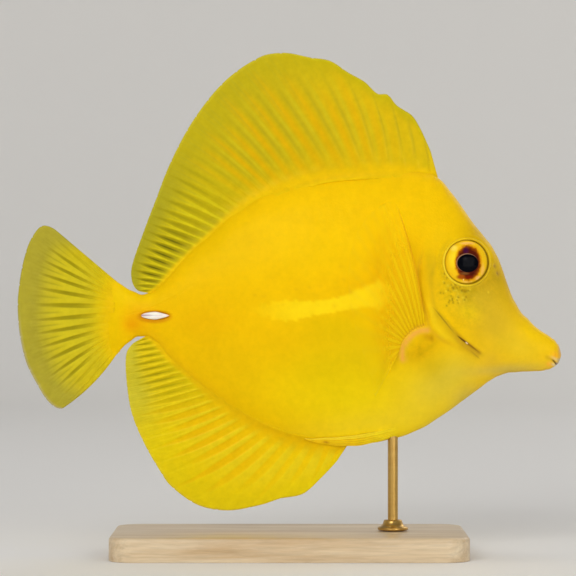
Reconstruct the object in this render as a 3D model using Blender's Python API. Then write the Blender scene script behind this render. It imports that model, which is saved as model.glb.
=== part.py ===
"""A yellow tang, life size, swimming level on a rod above a plain display base.

The head points to +X, the back to +Z, and the fish is the same on both sides of the plane y = 0.
The origin is on the underside of the base, under the middle of the fish's length.
"""

import math

import bmesh
import bpy
from mathutils import Matrix, Vector

MM = 0.001

# Driving sizes, in millimetres
TOTAL_LENGTH = 160.0
GAP = 0.3
FIN_TO_BASE = 6.0
BASE_THICKNESS = 7.0
BASE_LENGTH = 104.0
BASE_WIDTH = 58.0
BASE_CORNER_RADIUS = 8.0
BASE_EDGE_BEVEL = 1.0
ROD_RADIUS = 1.5
ROD_X = 30.5
ROD_IN_BASE = 4.0
ROD_IN_BELLY = 7.0
FERRULE_RADIUS = 4.5
FERRULE_TOP_RADIUS = 2.8
FERRULE_HEIGHT = 3.0

# Outline of the flesh seen from the side: (x, z) from the end of the tail stalk to the snout
BACK_LINE = (
    (-52.4, 81.7), (-49.2, 79.4), (-45.7, 77.5), (-41.9, 76.9), (-38.0, 79.6), (-33.3, 85.0), (-23.6, 94.4),
    (-13.9, 102.3), (-2.7, 108.0), (9.1, 111.3), (20.8, 112.7), (32.6, 113.0), (39.5, 112.6), (43.8, 110.9),
    (47.3, 107.1), (50.9, 102.3), (54.4, 97.3), (57.9, 93.0), (60.6, 89.0), (62.4, 85.0), (64.3, 79.4),
    (66.8, 73.8), (70.3, 69.4), (73.8, 66.1), (77.2, 63.8), (78.8, 62.2), (79.7, 60.4), (80.0, 59.2),
)
BELLY_LINE = (
    (-52.4, 57.1), (-49.8, 60.1), (-46.9, 62.7), (-43.3, 64.2), (-40.1, 63.2), (-35.1, 57.4), (-30.4, 53.2),
    (-25.7, 49.1), (-19.8, 44.6), (-15.1, 41.2), (-9.5, 37.9), (-3.9, 35.4), (3.5, 33.2), (10.5, 32.2),
    (16.7, 32.0), (23.8, 32.8), (29.7, 34.0), (36.7, 36.2), (43.8, 40.2), (50.9, 45.2), (56.2, 49.1),
    (59.7, 51.6), (62.4, 52.9), (66.8, 53.7), (72.1, 54.0), (75.6, 54.4), (77.4, 55.0), (78.6, 55.9),
    (79.6, 57.3), (80.0, 58.6),
)
# Height of the widest line along each side, half the body's width there, and how full its section is
WIDEST_LINE = (
    (-52.4, 68.8), (-42.0, 70.5), (-20.0, 72.0), (5.0, 74.0), (27.0, 76.0), (40.0, 78.5), (50.0, 80.5),
    (57.0, 77.0), (63.0, 68.5), (70.0, 62.6), (76.0, 59.8), (80.0, 58.9),
)
HALF_WIDTH = (
    (-52.4, 1.3), (-47.0, 2.2), (-42.0, 2.9), (-36.0, 3.9), (-26.0, 5.7), (-12.0, 7.8), (3.0, 9.2),
    (15.0, 9.7), (27.0, 9.8), (36.0, 9.4), (44.0, 8.6), (52.0, 7.5), (59.0, 6.3), (65.0, 5.0),
    (70.0, 4.1), (74.5, 3.3), (76.6, 3.05), (78.2, 2.9), (79.4, 1.9), (80.0, 0.6),
)
SECTION_POWER = (
    (-52.4, 0.9), (-30.0, 1.0), (0.0, 1.12), (30.0, 1.12), (45.0, 1.0), (60.0, 0.92), (80.0, 0.9),
)
RING_CORNERS = 28
STATION_STEPS = ((-33.0, 2.4), (38.0, 4.6), (76.0, 2.8), (80.0, 0.95))

# Cuts that part the flesh, seen from the side
GILL_LINE = (
    (45.0, 118.0), (43.9, 111.2), (42.0, 104.4), (40.0, 95.6), (38.8, 87.3), (38.0, 81.7), (38.5, 76.4),
    (40.4, 71.4), (41.6, 67.0), (45.0, 63.8), (50.3, 61.0), (55.6, 58.0), (58.6, 54.4), (60.8, 50.0),
)
CHEEK_LINE = (
    (41.0, 90.6), (42.4, 86.8), (41.6, 80.6), (42.8, 73.0), (45.2, 69.2), (49.8, 64.4), (56.4, 59.0),
)
COVER_EDGE = (
    (41.0, 90.6), (39.3, 88.9), (38.0, 81.7), (38.5, 76.4), (40.4, 71.4), (41.6, 67.0), (45.0, 63.8),
    (50.3, 61.0), (56.4, 57.8),
)
STALK_LINE = (
    (-33.6, 92.0), (-34.6, 85.0), (-35.8, 77.9), (-36.1, 70.6), (-35.8, 63.2), (-34.6, 56.1), (-33.6, 50.0),
)
JAW_LINE = ((76.0, 70.0), (75.2, 64.0), (74.9, 60.0), (75.1, 56.0), (75.8, 50.0))
MOUTH_LINE = ((70.0, 60.2), (75.0, 58.7), (77.9, 57.5), (83.0, 54.9))
MOUTH_OPENING = 0.45
COVER_THICKNESS = 1.5
COVER_PROUD = 0.35

# Head details
EYE_PLACE = (52.0, 86.0)
EYE_RADIUS = 6.5
EYE_DOME = 2.3
EYE_DEPTH = 4.2
EYE_SINK = 0.6
EYE_RIM_RADIUS = 7.15
EYE_RIM_THICKNESS = 0.5
NOSTRILS = ((61.0, 83.0, 0.5), (59.9, 84.6, 0.35))
NOSTRIL_DEPTH = 1.0

# The folding spine on each side of the tail stalk
TAIL_SPINE_PLACE = (-39.9, 70.5)
TAIL_SPINE_SIZE = (8.0, 1.5, 2.6)

# Fins: the line that each fin grows from, its free edge, which part of the edge each ray runs to, and how
# far along the line each ray stands, as (number of the ray, share of the line)
ROOT_SINK = 2.6
RAY_ROOT_THICKNESS = 1.3
RAY_TIP_THICKNESS = 0.6
MEMBRANE_THICKNESS = 0.5
WEB_FLARE = 0.12
ROW_SHARES = (0.0, 0.08, 0.35, 0.66, 1.0)
MEMBRANE_PLACES = (0.3, 0.7)
FORK_START = 0.35
FORK_HALF_WIDTHS = (0.1, 0.27)

DORSAL_ROOT = (
    (43.8, 110.9), (35.5, 112.9), (26.7, 113.0), (17.9, 112.4), (9.1, 111.3), (-2.7, 108.0), (-13.9, 102.3),
    (-23.6, 94.4), (-33.3, 85.0), (-38.0, 79.6), (-41.6, 77.0),
)
DORSAL_EDGE = (
    (43.8, 111.2), (42.2, 117.2), (40.4, 121.6), (38.4, 125.8), (36.0, 129.4), (31.7, 132.2), (29.0, 135.4),
    (25.8, 135.8), (22.2, 139.2), (17.3, 142.0), (12.0, 145.4), (6.1, 146.4), (-0.4, 147.7), (-5.7, 147.4),
    (-9.2, 146.2), (-14.5, 143.0), (-19.8, 138.6), (-25.1, 132.4), (-30.4, 124.4), (-35.7, 113.8),
    (-39.2, 104.7), (-42.8, 95.3), (-46.2, 85.4), (-46.4, 80.9), (-44.9, 78.0), (-41.9, 77.0),
)
DORSAL_RAYS = 31
DORSAL_FAN = (
    (0.0, 0.05), (0.05, 0.125), (0.105, 0.186), (0.16, 0.24), (0.225, 0.34), (0.31, 0.46), (0.375, 0.52),
    (0.475, 0.633), (0.595, 0.72), (0.77, 0.842), (0.97, 0.972), (1.0, 0.988),
)
DORSAL_BOW = ((0.0, 0.0), (0.5, 0.05), (1.0, 0.0))
DORSAL_SPACING = (
    (0.0, 0.0), (4.5, 0.196), (8.5, 0.378), (12.5, 0.53), (16.5, 0.669), (20.5, 0.781), (24.5, 0.879),
    (27.5, 0.947), (30.0, 1.0),
)

ANAL_ROOT = (
    (17.0, 32.0), (10.5, 32.2), (3.5, 33.2), (-3.9, 35.4), (-9.5, 37.9), (-15.1, 41.2), (-19.8, 44.6),
    (-25.7, 49.1), (-30.4, 53.2), (-35.1, 57.4), (-40.1, 63.2), (-42.6, 64.2),
)
ANAL_EDGE = (
    (17.0, 31.6), (14.1, 27.6), (9.1, 22.3), (4.0, 17.9), (-2.7, 16.5), (-8.6, 14.6), (-18.0, 13.0),
    (-26.9, 14.6), (-34.5, 19.9), (-38.0, 24.6), (-42.8, 32.9), (-46.3, 41.4), (-47.8, 49.9), (-48.1, 58.4),
    (-46.4, 61.8), (-43.3, 63.9),
)
ANAL_RAYS = 25
ANAL_FAN = (
    (0.0, 0.045), (0.045, 0.11), (0.095, 0.174), (0.194, 0.32), (0.3, 0.475), (0.39, 0.59), (0.58, 0.737),
    (0.65, 0.785), (0.72, 0.826), (0.79, 0.868), (0.86, 0.91), (0.92, 0.938), (1.0, 0.975),
)
ANAL_BOW = ((0.0, 0.0), (0.5, -0.035), (1.0, 0.0))
ANAL_SPACING = (
    (0.0, 0.0), (3.5, 0.185), (7.5, 0.395), (11.5, 0.575), (15.5, 0.725), (19.5, 0.86), (22.5, 0.948),
    (24.0, 1.0),
)

TAIL_ROOT = ((-51.0, 80.6), (-52.8, 75.2), (-53.3, 69.0), (-52.8, 62.8), (-51.0, 58.4))
TAIL_EDGE = (
    (-52.6, 80.6), (-56.9, 85.2), (-62.2, 89.9), (-67.2, 94.4), (-70.6, 96.6), (-73.4, 96.4), (-76.3, 92.3),
    (-78.1, 87.0), (-79.3, 80.9), (-79.95, 73.5), (-79.3, 64.7), (-77.5, 56.7), (-74.6, 50.8), (-71.2, 45.4),
    (-67.6, 43.0), (-64.0, 44.6), (-58.7, 49.6), (-53.6, 55.6), (-52.2, 57.2),
)
TAIL_RAYS = 16
TAIL_BOW = ((0.0, 0.0), (0.7, 0.0), (1.0, -0.05))
TAIL_FAN = (
    (0.0, 0.205), (0.07, 0.235), (0.14, 0.282), (0.25, 0.388), (0.38, 0.492), (0.48, 0.54), (0.59, 0.578),
    (0.66, 0.622), (0.75, 0.69), (0.83, 0.757), (0.93, 0.79), (1.0, 0.81),
)
TAIL_SPACING = (
    (0.0, 0.0), (1.5, 0.09), (3.5, 0.196), (5.5, 0.306), (6.5, 0.379), (7.5, 0.473), (8.5, 0.585),
    (9.5, 0.656), (11.5, 0.778), (13.5, 0.89), (15.0, 1.0),
)

PECTORAL_ROOT = ((39.6, 66.6), (36.6, 65.4), (33.9, 63.0), (32.2, 60.0))
PECTORAL_EDGE = (
    (36.3, 88.3), (33.8, 96.8), (31.4, 102.3), (28.9, 103.5), (24.4, 100.9), (19.7, 95.0), (17.3, 86.7),
    (17.0, 77.9), (18.5, 69.1), (21.1, 60.2), (23.8, 51.4), (24.9, 46.7),
)
PECTORAL_RAYS = 14
PECTORAL_FAN = ((0.0, 0.19), (0.3, 0.34), (0.6, 0.58), (1.0, 1.0))
PECTORAL_BOW = ((0.0, 0.034), (0.5, 0.02), (1.0, 0.0))
PECTORAL_FLARE = (0.30, 0.40)
PECTORAL_CAMBER = 0.0022
PECTORAL_LOBE_PLACE = (37.0, 61.4)
PECTORAL_LOBE = (5.4, 1.4, 3.9)
PECTORAL_LOBE_TILT = 28.0

PELVIC_ROOT_X = 36.4
PELVIC_TIP_X = 4.6
PELVIC_RAYS = 6
PELVIC_ANGLES = (157.0, 170.0)
PELVIC_SPREAD = ((0.0, 0.75), (0.35, 1.0), (0.6, 0.95), (1.0, 0.05))
PELVIC_STAND_OFF = 0.75
PELVIC_THICKNESS = 0.9

# Colours as sRGB hex values, with roughness and metallic value
FINISHES = {
    "skin": ("F6C70E", 0.42, 0.0),
    "fin": ("CDBD1E", 0.4, 0.0),
    "eye": ("1A1410", 0.1, 0.0),
    "spine": ("F6EEE4", 0.3, 0.0),
    "base_wood": ("D8C4A2", 0.4, 0.0),
    "brass": ("B08D4A", 0.3, 1.0),
}


def clear_scene():
    for thing in list(bpy.data.objects):
        bpy.data.objects.remove(thing)


def linear(channel):
    return channel / 12.92 if channel <= 0.04045 else ((channel + 0.055) / 1.055) ** 2.4


def finish(name):
    """The named material, made once."""
    if name in bpy.data.materials:
        return bpy.data.materials[name]
    colour, roughness, metallic = FINISHES[name]
    rgb = [linear(int(colour[i:i + 2], 16) / 255) for i in (0, 2, 4)]
    material = bpy.data.materials.new(name)
    material.use_nodes = True
    shader = material.node_tree.nodes["Principled BSDF"]
    shader.inputs["Base Color"].default_value = (*rgb, 1.0)
    shader.inputs["Roughness"].default_value = roughness
    shader.inputs["Metallic"].default_value = metallic
    return material


# Lines and heights

def value_at(line, x):
    """The smooth curve through the (x, value) pairs of line, read at x."""
    if x <= line[0][0]:
        return line[0][1]
    if x >= line[-1][0]:
        return line[-1][1]
    slopes = [(b[1] - a[1]) / (b[0] - a[0]) for a, b in zip(line, line[1:])]
    i = next(k for k in range(len(slopes)) if x <= line[k + 1][0])

    def tangent(k):
        if k == 0 or k == len(slopes):
            return slopes[min(k, len(slopes) - 1)]
        before = line[k][0] - line[k - 1][0]
        after = line[k + 1][0] - line[k][0]
        return (slopes[k - 1] * after + slopes[k] * before) / (before + after)

    width = line[i + 1][0] - line[i][0]
    t = (x - line[i][0]) / width
    from_start = line[i][1] + tangent(i) * width * t
    from_end = line[i + 1][1] - tangent(i + 1) * width * (1 - t)
    ease = t * t * (3 - 2 * t)
    return from_start * (1 - ease) + from_end * ease


def smooth_line(points, steps=6):
    """A finer line through the points, rounded as a Catmull-Rom curve."""
    points = [Vector(p) for p in points]
    padded = [2 * points[0] - points[1], *points, 2 * points[-1] - points[-2]]
    line = []
    for a, b, c, d in zip(padded, padded[1:], padded[2:], padded[3:]):
        for step in range(steps):
            t = step / steps
            line.append(0.5 * (2 * b + (c - a) * t + (2 * a - 5 * b + 4 * c - d) * t ** 2
                               + (3 * b - a - 3 * c + d) * t ** 3))
    return [*line, points[-1]]


def point_along(line, share):
    """The point at that share of the line's length."""
    lengths = [(b - a).length for a, b in zip(line, line[1:])]
    left = min(max(share, 0.0), 1.0) * sum(lengths)
    for a, b, length in zip(line, line[1:], lengths):
        if left <= length:
            return a.lerp(b, left / length)
        left -= length
    return line[-1].copy()


# The flesh as one surface

def stations(start, end):
    """Places along the fish where its section is drawn, closer together towards the snout."""
    places = []
    x = start
    while x < end - 0.1:
        places.append(x)
        x += next(step for limit, step in STATION_STEPS if x < limit)
    return [*places, end]


def flesh_point(x, angle, inset=0.0):
    """A point of the flesh at x. The angle runs from 0 at the back to 180 degrees at the belly."""
    middle = value_at(WIDEST_LINE, x)
    reach = value_at(BACK_LINE, x) - middle if math.cos(angle) > 0 else middle - value_at(BELLY_LINE, x)
    width = value_at(HALF_WIDTH, x) - inset
    power = value_at(SECTION_POWER, x)
    side = math.copysign(abs(math.sin(angle)) ** power, math.sin(angle))
    return Vector((x, width * side, middle + (reach - inset) * math.cos(angle)))


def flank_place(x, z):
    """The point of the left flank at x and z, and the direction that faces out there."""
    middle = value_at(WIDEST_LINE, x)
    reach = value_at(BACK_LINE, x) - middle if z > middle else middle - value_at(BELLY_LINE, x)
    angle = math.acos(min(1.0, max(-1.0, (z - middle) / reach)))
    step = 0.02
    along = flesh_point(x + 0.3, angle) - flesh_point(x - 0.3, angle)
    down = flesh_point(x, angle + step) - flesh_point(x, angle - step)
    outward = along.cross(down).normalized()
    if outward.y < 0:
        outward.negate()
    return flesh_point(x, angle), outward


def flesh_mesh(start=-52.4, end=80.0, inset=0.0):
    """A sphere drawn out into the body between two places, closed at both ends."""
    places = stations(start, end)
    body = bmesh.new()
    bmesh.ops.create_uvsphere(body, u_segments=RING_CORNERS, v_segments=len(places) + 1, radius=1.0)
    for corner in body.verts:
        turn = math.acos(max(-1.0, min(1.0, corner.co.z))) / math.pi * (len(places) + 1)
        ring = len(places) - round(turn)
        if 0 <= ring < len(places):
            corner.co = flesh_point(places[ring], math.atan2(corner.co.y, corner.co.x), inset)
        else:
            x = places[0] - 0.5 if ring < 0 else places[-1] + 0.02
            corner.co = (x, 0.0, value_at(WIDEST_LINE, x))
    return faces_out(body)


def faces_out(shape):
    """Turns every face of a closed mesh to the outside."""
    bmesh.ops.recalc_face_normals(shape, faces=shape.faces)
    if shape.calc_volume(signed=True) < 0:
        bmesh.ops.reverse_faces(shape, faces=shape.faces)
    return shape


def grown(body, by):
    """Moves each corner of a mesh outwards by that much."""
    body.normal_update()
    moves = [(corner, corner.normal * by) for corner in body.verts]
    for corner, move in moves:
        corner.co += move
    return body


# Solids and how they are joined and cut

def solid(name, shape, material="skin"):
    """An object of the given name from a closed mesh in millimetres."""
    faces_out(shape)
    bmesh.ops.triangulate(shape, faces=shape.faces)
    mesh = bpy.data.meshes.new(name)
    shape.transform(Matrix.Scale(MM, 4))
    shape.to_mesh(mesh)
    shape.free()
    thing = bpy.data.objects.new(name, mesh)
    bpy.context.scene.collection.objects.link(thing)
    mesh.materials.append(finish(material))
    return thing


def combine(thing, others, operation, solver="EXACT"):
    """Applies one Boolean of thing with the others, which are then removed."""
    group = bpy.data.collections.new("others")
    bpy.context.scene.collection.children.link(group)
    for other in others:
        group.objects.link(other)
    step = thing.modifiers.new("combine", "BOOLEAN")
    step.operation = operation
    step.operand_type = "COLLECTION"
    step.collection = group
    step.solver = solver
    bpy.context.view_layer.update()
    graph = bpy.context.evaluated_depsgraph_get()
    made = bpy.data.meshes.new_from_object(thing.evaluated_get(graph))
    thing.modifiers.clear()
    thing.data = made
    for other in others:
        bpy.data.objects.remove(other)
    bpy.data.collections.remove(group)
    return keep_largest(thing)


def keep_largest(thing):
    """Keeps the largest closed surface of a mesh, and drops scraps and sealed hollows."""
    shape = bmesh.new()
    shape.from_mesh(thing.data)
    left = set(shape.faces)
    parts = []
    while left:
        part, edge = set(), [left.pop()]
        while edge:
            face = edge.pop()
            part.add(face)
            for side in face.edges:
                for near in side.link_faces:
                    if near in left:
                        left.remove(near)
                        edge.append(near)
        parts.append(part)
    parts.sort(key=lambda faces: sum(face.calc_area() for face in faces))
    for part in parts[:-1]:
        bmesh.ops.delete(shape, geom=list(part), context="FACES")
    shape.to_mesh(thing.data)
    shape.free()
    return thing


def prism(name, outline, low, high):
    """The outline, a closed ring of (x, z) points, drawn out in y from low to high."""
    shape = bmesh.new()
    ring = [shape.verts.new((x, low, z)) for x, z in outline]
    face = shape.faces.new(ring)
    made = bmesh.ops.extrude_face_region(shape, geom=[face])
    moved = [item for item in made["geom"] if isinstance(item, bmesh.types.BMVert)]
    bmesh.ops.translate(shape, verts=moved, vec=(0.0, high - low, 0.0))
    return solid(name, shape)


def shifted(line, by):
    """The line moved sideways by that much, to its left when followed."""
    moved = []
    for i, point in enumerate(line):
        before, after = line[max(i - 1, 0)], line[min(i + 1, len(line) - 1)]
        ahead = (Vector(after) - Vector(before)).normalized()
        moved.append(Vector(point) + by * Vector((-ahead.y, ahead.x)))
    return moved


def mirrored(thing, name):
    """A copy of thing on the other side of the plane y = 0."""
    shape = bmesh.new()
    shape.from_mesh(thing.data)
    bmesh.ops.scale(shape, vec=(1.0, -1.0, 1.0), verts=shape.verts)
    bmesh.ops.reverse_faces(shape, faces=shape.faces)
    mesh = bpy.data.meshes.new(name)
    shape.to_mesh(mesh)
    shape.free()
    twin = bpy.data.objects.new(name, mesh)
    bpy.context.scene.collection.objects.link(twin)
    for material in thing.data.materials:
        if material.name not in mesh.materials:
            mesh.materials.append(material)
    return twin


def flesh_cutter(name, by=GAP):
    return solid(name, grown(flesh_mesh(), by))


# The body's parts

def head_region(line_shift):
    """The part of the side view ahead of the gill line, as a closed outline."""
    line = shifted(smooth_line(GILL_LINE, 2), line_shift)
    return [*line, (95.0, 48.0), (95.0, 120.0)]


def cover_region(by):
    """The gill cover's crescent in the side view, wider by that much all round."""
    front = smooth_line(CHEEK_LINE, 2)
    back = smooth_line(COVER_EDGE, 2)
    outline = [*front, *reversed(back[1:])]
    middle = sum(outline, Vector((0.0, 0.0))) / len(outline)
    ring = [*outline[-1:], *outline, *outline[:1]]
    widened = []
    for before, point, after in zip(ring, ring[1:], ring[2:]):
        ahead = (after - before).normalized()
        widened.append(point + by * Vector((ahead.y, -ahead.x)))
    is_nearer = (widened[0] - middle).length < (outline[0] - middle).length
    if is_nearer == (by > 0):
        widened = [2 * point - wide for point, wide in zip(outline, widened)]
    return widened


def eye_axis():
    """The eye's centre and the way it looks, on the left side."""
    place, outward = flank_place(*EYE_PLACE)
    return place - outward * EYE_SINK, outward


def turned(shape, place, outward):
    """Turns a shape so that its z axis looks outward, and sets it at place."""
    turn = Vector((0.0, 0.0, 1.0)).rotation_difference(outward)
    bmesh.ops.rotate(shape, cent=(0.0, 0.0, 0.0), matrix=turn.to_matrix(), verts=shape.verts)
    bmesh.ops.translate(shape, vec=place, verts=shape.verts)
    return shape


def eyeball(by=0.0):
    """A lens-shaped ball, flatter on its outer side."""
    centre, outward = eye_axis()
    ball = bmesh.new()
    bmesh.ops.create_uvsphere(ball, u_segments=20, v_segments=10, radius=1.0)
    for corner in ball.verts:
        depth = EYE_DOME if corner.co.z > 0 else EYE_DEPTH
        corner.co.xy *= EYE_RADIUS + by
        corner.co.z *= depth + by
    return turned(ball, centre, outward)


def eye_rim():
    """The raised ring of skin round the eye, which follows the flank."""
    ring = bmesh.new()
    corners = 5
    turns = [math.tau * k / corners for k in range(corners)]
    profile = [ring.verts.new((EYE_RIM_RADIUS + EYE_RIM_THICKNESS * math.cos(turn), 0.0,
                               EYE_RIM_THICKNESS * math.sin(turn))) for turn in turns]
    edges = [ring.edges.new((profile[k], profile[(k + 1) % corners])) for k in range(corners)]
    bmesh.ops.spin(ring, geom=[*profile, *edges], cent=(0, 0, 0), axis=(0, 0, 1), angle=math.tau, steps=20,
                   use_merge=True)
    bmesh.ops.remove_doubles(ring, verts=ring.verts, dist=0.001)
    for corner in ring.verts:
        place, outward = flank_place(EYE_PLACE[0] + corner.co.x, EYE_PLACE[1] + corner.co.y)
        corner.co = place + outward * corner.co.z
    return ring


def nostril(x, z, radius):
    place, outward = flank_place(x, z)
    hole = bmesh.new()
    bmesh.ops.create_cone(hole, cap_ends=True, segments=10, radius1=radius * 0.6, radius2=radius,
                          depth=2 * NOSTRIL_DEPTH)
    return turned(hole, place, outward)


def both_sides(name, shape):
    left = solid(name, shape)
    return [left, mirrored(left, name + "_twin")]


def tail_spine_shape(by=0.0):
    """A flattened thorn that lies along the stalk with its point to the front."""
    place, outward = flank_place(*TAIL_SPINE_PLACE)
    thorn = bmesh.new()
    bmesh.ops.create_uvsphere(thorn, u_segments=10, v_segments=8, radius=1.0)
    bmesh.ops.rotate(thorn, cent=(0, 0, 0), matrix=Matrix.Rotation(math.pi / 2, 3, "Y"), verts=thorn.verts)
    half_length, half_thickness, half_height = (size / 2 + by for size in TAIL_SPINE_SIZE)
    for corner in thorn.verts:
        along = corner.co.x
        slim = 1.0 if along < 0 else 1.0 - 0.55 * along
        corner.co = (along * half_length, corner.co.y * slim * half_thickness,
                     corner.co.z * slim * half_height)
    lean = Matrix.Rotation(math.atan2(-outward.x, outward.y), 3, "Z")
    bmesh.ops.rotate(thorn, cent=(0, 0, 0), matrix=lean, verts=thorn.verts)
    bmesh.ops.translate(thorn, vec=place + outward * 0.25, verts=thorn.verts)
    return thorn


def rod_shape(radius, low, high):
    rod = bmesh.new()
    bmesh.ops.create_cone(rod, cap_ends=True, segments=24, radius1=radius, radius2=radius, depth=high - low)
    bmesh.ops.translate(rod, vec=(ROD_X, 0.0, (low + high) / 2), verts=rod.verts)
    return rod


def rod_top():
    return value_at(BELLY_LINE, ROD_X) + ROD_IN_BELLY


def make_head():
    head = solid("head", flesh_mesh())
    combine(head, [prism("region", head_region(GAP / 2), -30.0, 30.0)], "INTERSECT")
    jaw_side = [*shifted(smooth_line(JAW_LINE, 2), -GAP / 2), Vector((90.0, 50.0)), Vector((90.0, 70.0))]
    combine(head, both_sides("rim", eye_rim()), "UNION")
    pocket = prism("pocket", cover_region(GAP / 2), 2.0, 30.0)
    depth = COVER_THICKNESS - COVER_PROUD + GAP
    combine(pocket, [solid("core", flesh_mesh(20.0, 66.0, depth))], "DIFFERENCE")
    cutters = [pocket, mirrored(pocket, "pocket_twin"), prism("jaws", jaw_side, -10.0, 10.0)]
    cutters += both_sides("socket", eyeball(GAP))
    for x, z, radius in NOSTRILS:
        cutters += both_sides("nostril", nostril(x, z, radius))
    return combine(head, cutters, "DIFFERENCE")


def make_jaws():
    """The two lips, parted by the line of the mouth."""
    made = []
    behind = shifted(smooth_line(JAW_LINE, 2), GAP / 2)
    for name, side in (("upper_jaw", 1), ("lower_jaw", -1)):
        jaw = solid(name, flesh_mesh())
        front = [*behind, Vector((90.0, 50.0)), Vector((90.0, 70.0))]
        combine(jaw, [prism("front", front, -10.0, 10.0)], "INTERSECT")
        mouth = shifted(smooth_line(MOUTH_LINE, 2), side * MOUTH_OPENING / 2)
        half = [*mouth, Vector((95.0, 58.8 + side * 20)), Vector((60.0, 58.8 + side * 20))]
        combine(jaw, [prism("half", half, -12.0, 12.0)], "INTERSECT")
        made.append(jaw)
    return made


def make_gill_covers():
    cover = prism("gill_cover_left", cover_region(-GAP / 2), 2.0, 30.0)
    combine(cover, [solid("core", flesh_mesh(20.0, 66.0, COVER_THICKNESS - COVER_PROUD))], "DIFFERENCE")
    combine(cover, [flesh_cutter("outside", COVER_PROUD)], "INTERSECT")
    return [cover, mirrored(cover, "gill_cover_right")]


def make_trunk():
    trunk = solid("trunk", flesh_mesh())
    front = shifted(smooth_line(GILL_LINE, 2), -GAP / 2)
    back = shifted(smooth_line(STALK_LINE, 2), GAP / 2)
    region = [*front, Vector((front[-1].x, 20.0)), Vector((back[-1].x, 20.0)), *reversed(back),
              Vector((back[0].x, 125.0)), Vector((front[0].x, 125.0))]
    combine(trunk, [prism("region", region, -30.0, 30.0)], "INTERSECT")
    bore = solid("bore", rod_shape(ROD_RADIUS + GAP, 20.0, rod_top() + GAP))
    return combine(trunk, [bore], "DIFFERENCE")


def make_tail_stalk():
    stalk = solid("tail_stalk", flesh_mesh())
    region = [*shifted(smooth_line(STALK_LINE, 2), -GAP / 2), Vector((-70.0, 50.0)), Vector((-70.0, 92.0))]
    combine(stalk, [prism("region", region, -30.0, 30.0)], "INTERSECT")
    return combine(stalk, both_sides("groove", tail_spine_shape(GAP)), "DIFFERENCE")


def make_eyes():
    eye = solid("eye_left", eyeball(), "eye")
    return [eye, mirrored(eye, "eye_right")]


def make_tail_spines():
    spine = solid("tail_spine_left", tail_spine_shape(), "spine")
    return [spine, mirrored(spine, "tail_spine_right")]


# Fins

def ray_columns(rays, forked):
    """The columns of a fin's mesh: the ray's number, "crest", "fork" or "web", and the side of its ray."""
    columns = []
    for ray in range(rays):
        outermost = ray in (0, rays - 1)
        kinds = (("crest", -1), ("fork", 0), ("crest", 1)) if forked and not outermost else (("crest", 0),)
        columns += [(ray, kind, half) for kind, half in kinds]
        if ray < rays - 1:
            places = (0.5,) if forked else MEMBRANE_PLACES
            columns += [(ray + place, "web", 0) for place in places]
    return columns


def fork_opening(along):
    """How far a ray's fork has opened at that share of its length, from 0 to 1."""
    return max(0.0, (along - FORK_START) / (1 - FORK_START))


def thickness_at(kind, along):
    """How thick a fin is at that share of a ray's length, on a ray's crest, in its fork or on the web."""
    crest = RAY_ROOT_THICKNESS + (RAY_TIP_THICKNESS - RAY_ROOT_THICKNESS) * along
    if kind == "web":
        flare = max(0.0, 1.0 - along / WEB_FLARE) ** 2
        return MEMBRANE_THICKNESS + (RAY_ROOT_THICKNESS - MEMBRANE_THICKNESS) * flare
    if kind == "fork":
        return crest + (MEMBRANE_THICKNESS - crest) * min(1.0, 2 * fork_opening(along))
    return crest


def plate(name, rays, place, rows=ROW_SHARES, spacing=None, forked=False):
    """A closed fin of ray crests with a web between, split into like triangles on both faces.

    place(across, along, kind, side) gives each corner in millimetres, with side -1 or 1. The spacing gives
    each ray's share across the fin, and the rays are evenly spaced without it.
    """
    columns = ray_columns(rays, forked)
    narrow, wide = FORK_HALF_WIDTHS
    fin = bmesh.new()
    bmesh.ops.create_grid(fin, x_segments=len(columns) - 1, y_segments=len(rows) - 1, size=0.5)
    bmesh.ops.triangulate(fin, faces=fin.faces, quad_method="FIXED")
    made = bmesh.ops.extrude_face_region(fin, geom=fin.faces[:])
    lifted = [item for item in made["geom"] if isinstance(item, bmesh.types.BMVert)]
    bmesh.ops.translate(fin, verts=lifted, vec=(0.0, 0.0, 1.0))
    for corner in fin.verts:
        number, kind, half = columns[round((corner.co.x + 0.5) * (len(columns) - 1))]
        along = rows[round((corner.co.y + 0.5) * (len(rows) - 1))]
        number += half * (narrow + (wide - narrow) * fork_opening(along))
        across = value_at(spacing, number) if spacing else number / (rays - 1)
        corner.co = place(across, along, kind, 1 if corner.co.z > 0.5 else -1)
    return solid(name, fin, "fin")


def ray_path(root, edge, fan, bow):
    """A function of (across, along) that follows the rays in the side view."""
    root, edge = smooth_line(root), smooth_line(edge)

    def path(across, along):
        start = point_along(root, across)
        tip = point_along(edge, value_at(fan, across))
        chord = tip - start
        aside = Vector((chord.y, -chord.x)) * value_at(bow, across) * 4 * along * (1 - along)
        if along <= 0:
            return start - chord.normalized() * ROOT_SINK
        return start + chord * along + aside

    return path


def upright_fin(name, rays, path, spacing, forked=False):
    """A fin that stands in the fish's middle plane."""

    def place(across, along, kind, side):
        flat = path(across, along)
        return flat.x, side * thickness_at(kind, along) / 2, flat.y

    fin = plate(name, rays, place, spacing=spacing, forked=forked)
    return combine(fin, [flesh_cutter("flesh")], "DIFFERENCE", "MANIFOLD")


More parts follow.
